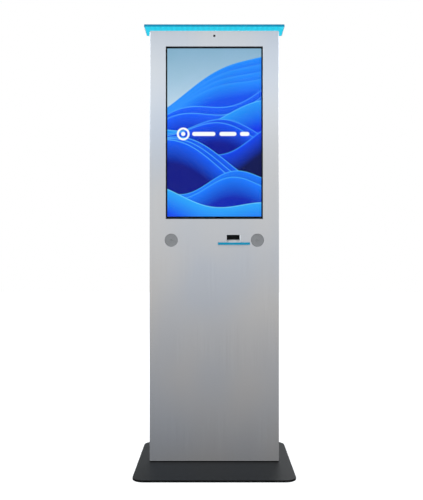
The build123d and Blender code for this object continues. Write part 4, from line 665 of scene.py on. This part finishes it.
# %% [markdown]
# ### Louvre hoods
# The door's air slots are pressed, not only cut: the press pushes the strip above each slot out into
# a hood that sheds rain and fingers and opens downwards. A hood could be modelled by hand with a
# subdivision cage. Its shape has a formula, so a flat grid is bent into it instead: full depth at
# the lip, an ellipse that dies away upwards, and ends closed by a steep power curve.

# %% Louvre hoods
door_low, door_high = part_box("rear_door")
HOOD = {"length": 0.116, "height": 0.0085, "depth": 0.0036, "sheet": 0.0010}
INTAKE = {"rows": 12, "pitch": 0.012, "first": door_low.z + 0.070, "spread": 0.210}
END_POWER = 12.0            # how steeply the two ends close
sizes = {**HOOD, **INTAKE, "back": door_high.y}
tree, given = open_tree("louvre_hoods", **sizes)
sheet = add(tree, "GeometryNodeMeshGrid", {"Size X": 2.0, "Size Y": 1.0, "Vertices X": 33, "Vertices Y": 9})
flat = add(tree, "ShaderNodeSeparateXYZ", {0: add(tree, "GeometryNodeInputPosition")})
up = add(tree, "ShaderNodeMath", {0: flat.outputs["Y"], 1: 0.5}, operation="ADD")
off_middle = add(tree, "ShaderNodeMath", {0: flat}, operation="ABSOLUTE")
side = add(tree, "ShaderNodeMath", {0: off_middle, 1: END_POWER}, operation="POWER")
closed = add(tree, "ShaderNodeMath", {0: 1.0, 1: side}, operation="SUBTRACT")
squared = add(tree, "ShaderNodeMath", {0: up, 1: up}, operation="MULTIPLY")
dying = add(tree, "ShaderNodeMath", {0: 1.0, 1: squared}, operation="SUBTRACT")
both = add(tree, "ShaderNodeMath", {0: closed, 1: dying}, operation="MULTIPLY")
positive = add(tree, "ShaderNodeMath", {0: both, 1: 0.0}, operation="MAXIMUM")
arched = add(tree, "ShaderNodeMath", {0: positive}, operation="SQRT")
doubled = add(tree, "ShaderNodeMath", {0: flat, 1: given["length"]}, operation="MULTIPLY")
bent = (
    add(tree, "ShaderNodeMath", {0: doubled, 1: 0.5}, operation="MULTIPLY"),
    add(tree, "ShaderNodeMath", {0: arched, 1: given["depth"]}, operation="MULTIPLY"),
    add(tree, "ShaderNodeMath", {0: up, 1: given["height"]}, operation="MULTIPLY"),
)
hood = add(tree, "GeometryNodeSetPosition", {0: sheet, "Position": bent})
outer = add(tree, "GeometryNodeFlipFaces", {0: hood})
inward = add(tree, "ShaderNodeMath", {0: given["sheet"], 1: -1.0}, operation="MULTIPLY")
wall = add(
    tree, "GeometryNodeExtrudeMesh", {0: outer, "Offset Scale": inward, "Individual": False}, mode="FACES",
)
whole = add(tree, "GeometryNodeJoinGeometry", {0: [outer, add(tree, "GeometryNodeFlipFaces", {0: wall})]})
solid = add(tree, "GeometryNodeMergeByDistance", {0: whole, "Distance": 0.00001})
rows_up = add(tree, "ShaderNodeMath", {0: given["rows"], 1: 1.0}, operation="SUBTRACT")
tall = add(tree, "ShaderNodeMath", {0: rows_up, 1: given["pitch"]}, operation="MULTIPLY")
places = add(
    tree, "GeometryNodeMeshGrid",
    {"Size X": given["spread"], "Size Y": tall, "Vertices X": 2, "Vertices Y": given["rows"]},
)
middle = add(tree, "ShaderNodeMath", {0: tall, 1: 0.5, 2: given["first"]}, operation="MULTIPLY_ADD")
stood = add(
    tree, "GeometryNodeTransform",
    {0: places, "Translation": (0.0, given["back"], middle), "Rotation": FACING_FRONT},
)
hoods = add(tree, "GeometryNodeInstanceOnPoints", {0: stood, "Instance": solid})
run_tree(tree, hoods, silver, "rear_door", "silver_powder_coat", **sizes)

# %% [markdown]
# ### Wire fan guard
# The CAD guard is one flat stamping, which collides well. The guard one buys is bent from chromed
# wire: rings welded under crossed spokes, and each spoke rolled into an eye for its screw. Rings are
# one circle, scaled by its own number, so a larger fan only asks for more rings.

# %% Wire fan guard
guard_low, guard_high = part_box("fan_guard")
WIRE = 0.0008               # radius
EYE = 0.0031
hole = guard_high.x - 0.004             # the stamped guard ends 4 mm outside its screws
sizes = {
    "rings": 4, "step": hole / 4.02, "hole": hole, "wire": WIRE, "eye": EYE,
    "up": (guard_low.z + guard_high.z) / 2, "stand": guard_high.y - guard_low.y - 2 * WIRE,
    "back": guard_high.y - WIRE,
}
tree, given = open_tree("wire_fan_guard", **sizes)
unit = add(tree, "GeometryNodeCurvePrimitiveCircle", {"Resolution": 72, "Radius": 1.0})
number = add(tree, "ShaderNodeMath", {0: add(tree, "GeometryNodeInputIndex"), 1: 1.0}, operation="ADD")
grown = add(tree, "ShaderNodeMath", {0: number, 1: given["step"]}, operation="MULTIPLY")
rings = row(tree, unit, given["rings"], HERE, HERE, Scale=grown)
under = add(tree, "ShaderNodeMath", {0: given["wire"], 1: -1.75}, operation="MULTIPLY")
lowered = add(tree, "GeometryNodeTransform", {0: rings, "Translation": (0.0, 0.0, under)})
diagonal = add(tree, "ShaderNodeMath", {0: given["hole"], 1: 2 ** 0.5}, operation="MULTIPLY")
reach = add(tree, "ShaderNodeMath", {0: diagonal, 1: given["eye"]}, operation="SUBTRACT")
opposite = add(tree, "ShaderNodeMath", {0: reach, 1: -1.0}, operation="MULTIPLY")
spoke = add(
    tree, "GeometryNodeCurvePrimitiveLine", {"Start": (opposite, 0.0, 0.0), "End": (reach, 0.0, 0.0)},
)
turn = add(
    tree, "ShaderNodeMath", {0: add(tree, "GeometryNodeInputIndex"), 1: radians(90), 2: radians(45)},
    operation="MULTIPLY_ADD",
)
spokes = row(tree, spoke, 2, HERE, HERE, Rotation=(0.0, 0.0, turn))
apart = add(tree, "ShaderNodeMath", {0: given["hole"], 1: 2.0}, operation="MULTIPLY")
screws = add(
    tree, "GeometryNodeMeshGrid", {"Size X": apart, "Size Y": apart, "Vertices X": 2, "Vertices Y": 2},
)
eye = add(tree, "GeometryNodeCurvePrimitiveCircle", {"Resolution": 24, "Radius": given["eye"]})
eyes = add(tree, "GeometryNodeInstanceOnPoints", {0: screws, "Instance": eye})
joined = add(tree, "GeometryNodeJoinGeometry", {0: [lowered, spokes, eyes]})
wires = add(tree, "GeometryNodeRealizeInstances", {0: joined})
section = add(tree, "GeometryNodeCurvePrimitiveCircle", {"Resolution": 10, "Radius": given["wire"]})
drawn = add(tree, "GeometryNodeCurveToMesh", {0: wires, 1: section, "Fill Caps": True})
down = add(tree, "ShaderNodeMath", {0: given["stand"], 1: -1.0}, operation="MULTIPLY")
stem = add(tree, "GeometryNodeCurvePrimitiveLine", {"Start": HERE, "End": (0.0, 0.0, down)})
ring_wall = add(tree, "GeometryNodeCurveToMesh", {0: stem, 1: eye})
tubes = add(tree, "GeometryNodeInstanceOnPoints", {0: screws, "Instance": ring_wall})
whole = add(tree, "GeometryNodeJoinGeometry", {0: [drawn, tubes]})
stood = add(
    tree, "GeometryNodeTransform",
    {0: whole, "Translation": (0.0, given["back"], given["up"]), "Rotation": FACING_REAR},
)
chrome = grained("chromed_guard_wire", "c6c8ca", "d4d6d8", (3.0, 3.0, 3.0), 0.003, (0.12, 0.20), Metallic=1.0)
guard = run_tree(tree, stood, chrome, "rear_door", "plated_fasteners", **sizes)
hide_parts("fan_guard")

# %% [markdown]
# ### Door seal
# The seal is a foam tube, pressed flat by the closed door. A round profile, squashed, follows a
# rectangle with filleted corners: the seal's glue line. In the CAD model it is a plain flat frame.

# %% Door seal
seal_low, seal_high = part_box("door_seal")
BULB = 0.006                # the foam tube's diameter before it is pressed
sizes = {
    "wide": seal_high.x - seal_low.x, "tall": seal_high.z - seal_low.z, "corner": 0.014, "bulb": BULB,
    "pressed": (seal_high.y - seal_low.y) / BULB, "depth": (seal_low.y + seal_high.y) / 2,
    "up": (seal_low.z + seal_high.z) / 2,
}
tree, given = open_tree("flattened_door_seal", **sizes)
line_wide, line_tall = [
    add(tree, "ShaderNodeMath", {0: given[side], 1: given["bulb"]}, operation="SUBTRACT")
    for side in ("wide", "tall")
]
line = add(tree, "GeometryNodeCurvePrimitiveQuadrilateral", {"Width": line_wide, "Height": line_tall})
filleted = add(
    tree, "GeometryNodeFilletCurve", {0: line, "Count": 8, "Radius": given["corner"]}, mode="POLY",
)
half = add(tree, "ShaderNodeMath", {0: given["bulb"], 1: 0.5}, operation="MULTIPLY")
tube = add(tree, "GeometryNodeCurvePrimitiveCircle", {"Resolution": 20, "Radius": half})
squashed = add(tree, "GeometryNodeTransform", {0: tube, "Scale": (1.0, given["pressed"], 1.0)})
swept = add(tree, "GeometryNodeCurveToMesh", {0: filleted, 1: squashed})
stood = add(
    tree, "GeometryNodeTransform",
    {0: swept, "Translation": (0.0, given["depth"], given["up"]), "Rotation": FACING_FRONT},
)
seal = run_tree(tree, stood, foam, "root", "black_foam", **sizes)
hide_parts("door_seal")

# %% [markdown]
# ### Cable clips
# The mains cable climbs the left side in nylon clips, one each 160 mm. A clip is a flat band rolled
# round the cable, a neck, and a foot that is glued to the wall.

# %% Cable clips
cable_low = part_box("mains_cable")[0]
CABLE_R = 0.0035
BAND = 0.0012
NECK_T = 0.0024
FOOT_T, FOOT_WIDE = 0.002, 0.016
to_wall = cable_low.x - BAND / 2 - (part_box("side_panel_left")[0].x + 0.0015)
sizes = {
    "clips": 5, "pitch": 0.16, "first": 0.30, "hold": CABLE_R + BAND / 2, "band": BAND, "wide": 0.010,
    "across": cable_low.x + CABLE_R, "depth": 0.008, "neck": to_wall,
}
tree, given = open_tree("cable_clips", **sizes)
flat_band = add(
    tree, "GeometryNodeCurvePrimitiveQuadrilateral", {"Width": given["band"], "Height": given["wide"]},
)
loop = add(tree, "GeometryNodeCurvePrimitiveCircle", {"Resolution": 28, "Radius": given["hold"]})
rolled = add(tree, "GeometryNodeCurveToMesh", {0: loop, 1: flat_band})
neck = add(tree, "GeometryNodeMeshCube", {"Size": (given["neck"], NECK_T, given["wide"])})
to_neck = add(tree, "ShaderNodeMath", {0: given["neck"], 1: 0.5, 2: given["hold"]}, operation="MULTIPLY_ADD")
neck_x = add(tree, "ShaderNodeMath", {0: to_neck, 1: -1.0}, operation="MULTIPLY")
necked = add(tree, "GeometryNodeTransform", {0: neck, "Translation": (neck_x, 0.0, 0.0)})
foot = add(tree, "GeometryNodeMeshCube", {"Size": (FOOT_T, FOOT_WIDE, given["wide"])})
to_foot = add(tree, "ShaderNodeMath", {0: given["neck"], 1: given["hold"]}, operation="ADD")
foot_x = add(tree, "ShaderNodeMath", {0: to_foot, 1: -1.0, 2: FOOT_T / 2}, operation="MULTIPLY_ADD")
footed = add(tree, "GeometryNodeTransform", {0: foot, "Translation": (foot_x, 0.0, 0.0)})
clip = add(tree, "GeometryNodeJoinGeometry", {0: [rolled, necked, footed]})
lowest = (given["across"], given["depth"], given["first"])
clips = row(tree, clip, given["clips"], lowest, (0.0, 0.0, given["pitch"]))
run_tree(tree, clips, acetal, "root", "gear_plastic", **sizes)

# %% [markdown]
# ### Terminal screws and port shells
# Small hardware comes in rows at one pitch. The supply's terminals get slotted screws, cut by a
# boolean before they are copied. The computer's ports get drawn steel shells round a plastic tongue.

# %% Terminal screws
supply_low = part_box("power_supply")[0]
BLADE = 0.02                # length of the cutter, longer than any head is wide
LOOSE = 1.2                 # how far a slot may be turned either way, in radians
sizes = {
    "screws": 7, "pitch": 0.010, "first": supply_low.x + 0.014, "head": 0.0030, "rise": 0.0014, "cut": 0.0008,
    "face": supply_low.y + 0.0222, "up": supply_low.z + 0.0083,
}
tree, given = open_tree("terminal_screws", **sizes)
disc = add(
    tree, "GeometryNodeMeshCylinder", {"Vertices": 28, "Radius": given["head"], "Depth": given["rise"]},
)
blade = add(tree, "GeometryNodeMeshCube", {"Size": (BLADE, given["cut"], given["rise"])})
half = add(tree, "ShaderNodeMath", {0: given["rise"], 1: 0.5}, operation="MULTIPLY")
raised = add(tree, "GeometryNodeTransform", {0: blade, "Translation": (0.0, 0.0, half)})
slotted = add(tree, "GeometryNodeMeshBoolean", {0: disc, 1: raised}, operation="DIFFERENCE")
turned = add(
    tree, "FunctionNodeRandomValue",
    {2: -LOOSE, 3: LOOSE, "ID": add(tree, "GeometryNodeInputIndex"), "Seed": 7},
)
tipped = add(tree, "FunctionNodeRotateEuler", {0: (0.0, 0.0, turned.outputs[1]), 1: FACING_REAR})
first = (given["first"], given["face"], given["up"])
screws = row(tree, slotted, given["screws"], first, (given["pitch"], 0.0, 0.0), Rotation=tipped)
run_tree(tree, screws, metals["bright_zinc_screws"], "root", "plated_fasteners", **sizes)

# %% Port shells
computer_low, computer_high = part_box("mini_pc")
PORT_CORNER = 0.0008
TONGUE_WIDE, TONGUE_T = 0.0095, 0.0012
sizes = {
    "ports": 5, "pitch": 0.030, "first": (computer_low.x + computer_high.x) / 2 - 0.060, "wide": 0.0132,
    "tall": 0.0052, "sheet": 0.0004, "deep": 0.0045, "depth": computer_low.y + 0.009, "up": computer_low.z,
}
tree, given = open_tree("port_shells", **sizes)
outline = add(
    tree, "GeometryNodeCurvePrimitiveQuadrilateral", {"Width": given["wide"], "Height": given["tall"]},
)
mouth = add(tree, "GeometryNodeFilletCurve", {0: outline, "Count": 4, "Radius": PORT_CORNER}, mode="POLY")
edge = add(
    tree, "GeometryNodeCurvePrimitiveQuadrilateral", {"Width": given["sheet"], "Height": given["deep"]},
)
shell = add(tree, "GeometryNodeCurveToMesh", {0: mouth, 1: edge})
tongue = add(tree, "GeometryNodeMeshCube", {"Size": (TONGUE_WIDE, TONGUE_T, given["deep"])})
socket = add(tree, "GeometryNodeJoinGeometry", {0: [shell, tongue]})
middle = add(tree, "ShaderNodeMath", {0: given["deep"], 1: 0.5, 2: given["up"]}, operation="MULTIPLY_ADD")
first = (given["first"], given["depth"], middle)
shells = row(tree, socket, given["ports"], first, (given["pitch"], 0.0, 0.0))
run_tree(tree, shells, metals["polished_stainless"], "root", "plated_fasteners", **sizes)

# %% [markdown]
# ### Chute ribs
# Thin ribs along the chute's slope keep a fresh ticket from sticking by static. They are one bar,
# laid on the slope and copied across.

# %% Chute ribs
chute_low, chute_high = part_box("ticket_chute")
SLOPE_RUN, SLOPE_RISE = 0.015, 0.012
RIB_PITCH = 0.0085
sizes = {
    "ribs": 6, "pitch": RIB_PITCH, "first": (chute_low.x + chute_high.x) / 2 - 2.5 * RIB_PITCH,
    "long": 0.0150, "thick": 0.0009, "depth": chute_low.y + SLOPE_RUN / 2,
    "up": chute_low.z + SLOPE_RISE / 2 + 0.0002,
}
tree, given = open_tree("chute_ribs", **sizes)
bar = add(tree, "GeometryNodeMeshCube", {"Size": (given["thick"], given["long"], given["thick"])})
laid = add(tree, "GeometryNodeTransform", {0: bar, "Rotation": (atan2(SLOPE_RISE, SLOPE_RUN), 0, 0)})
first = (given["first"], given["depth"], given["up"])
ribs = row(tree, laid, given["ribs"], first, (given["pitch"], 0.0, 0.0))
run_tree(tree, ribs, abs_silver, "root", "chute_silver", **sizes)

# %% [markdown]
# ## What the panel must not mirror
# Brushed steel would mirror the glowing canopy above it and the black plate below it as two smears.
# A product studio masks them off. Here those neighbours are kept out of reflections.

# %% Keep neighbours out of reflections
for name in ("canopy_shell", "canopy_diffuser", "canopy_led_strip", "base_plate"):
    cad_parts[name].visible_glossy = False
print("canopy and base plate are left out of reflections")
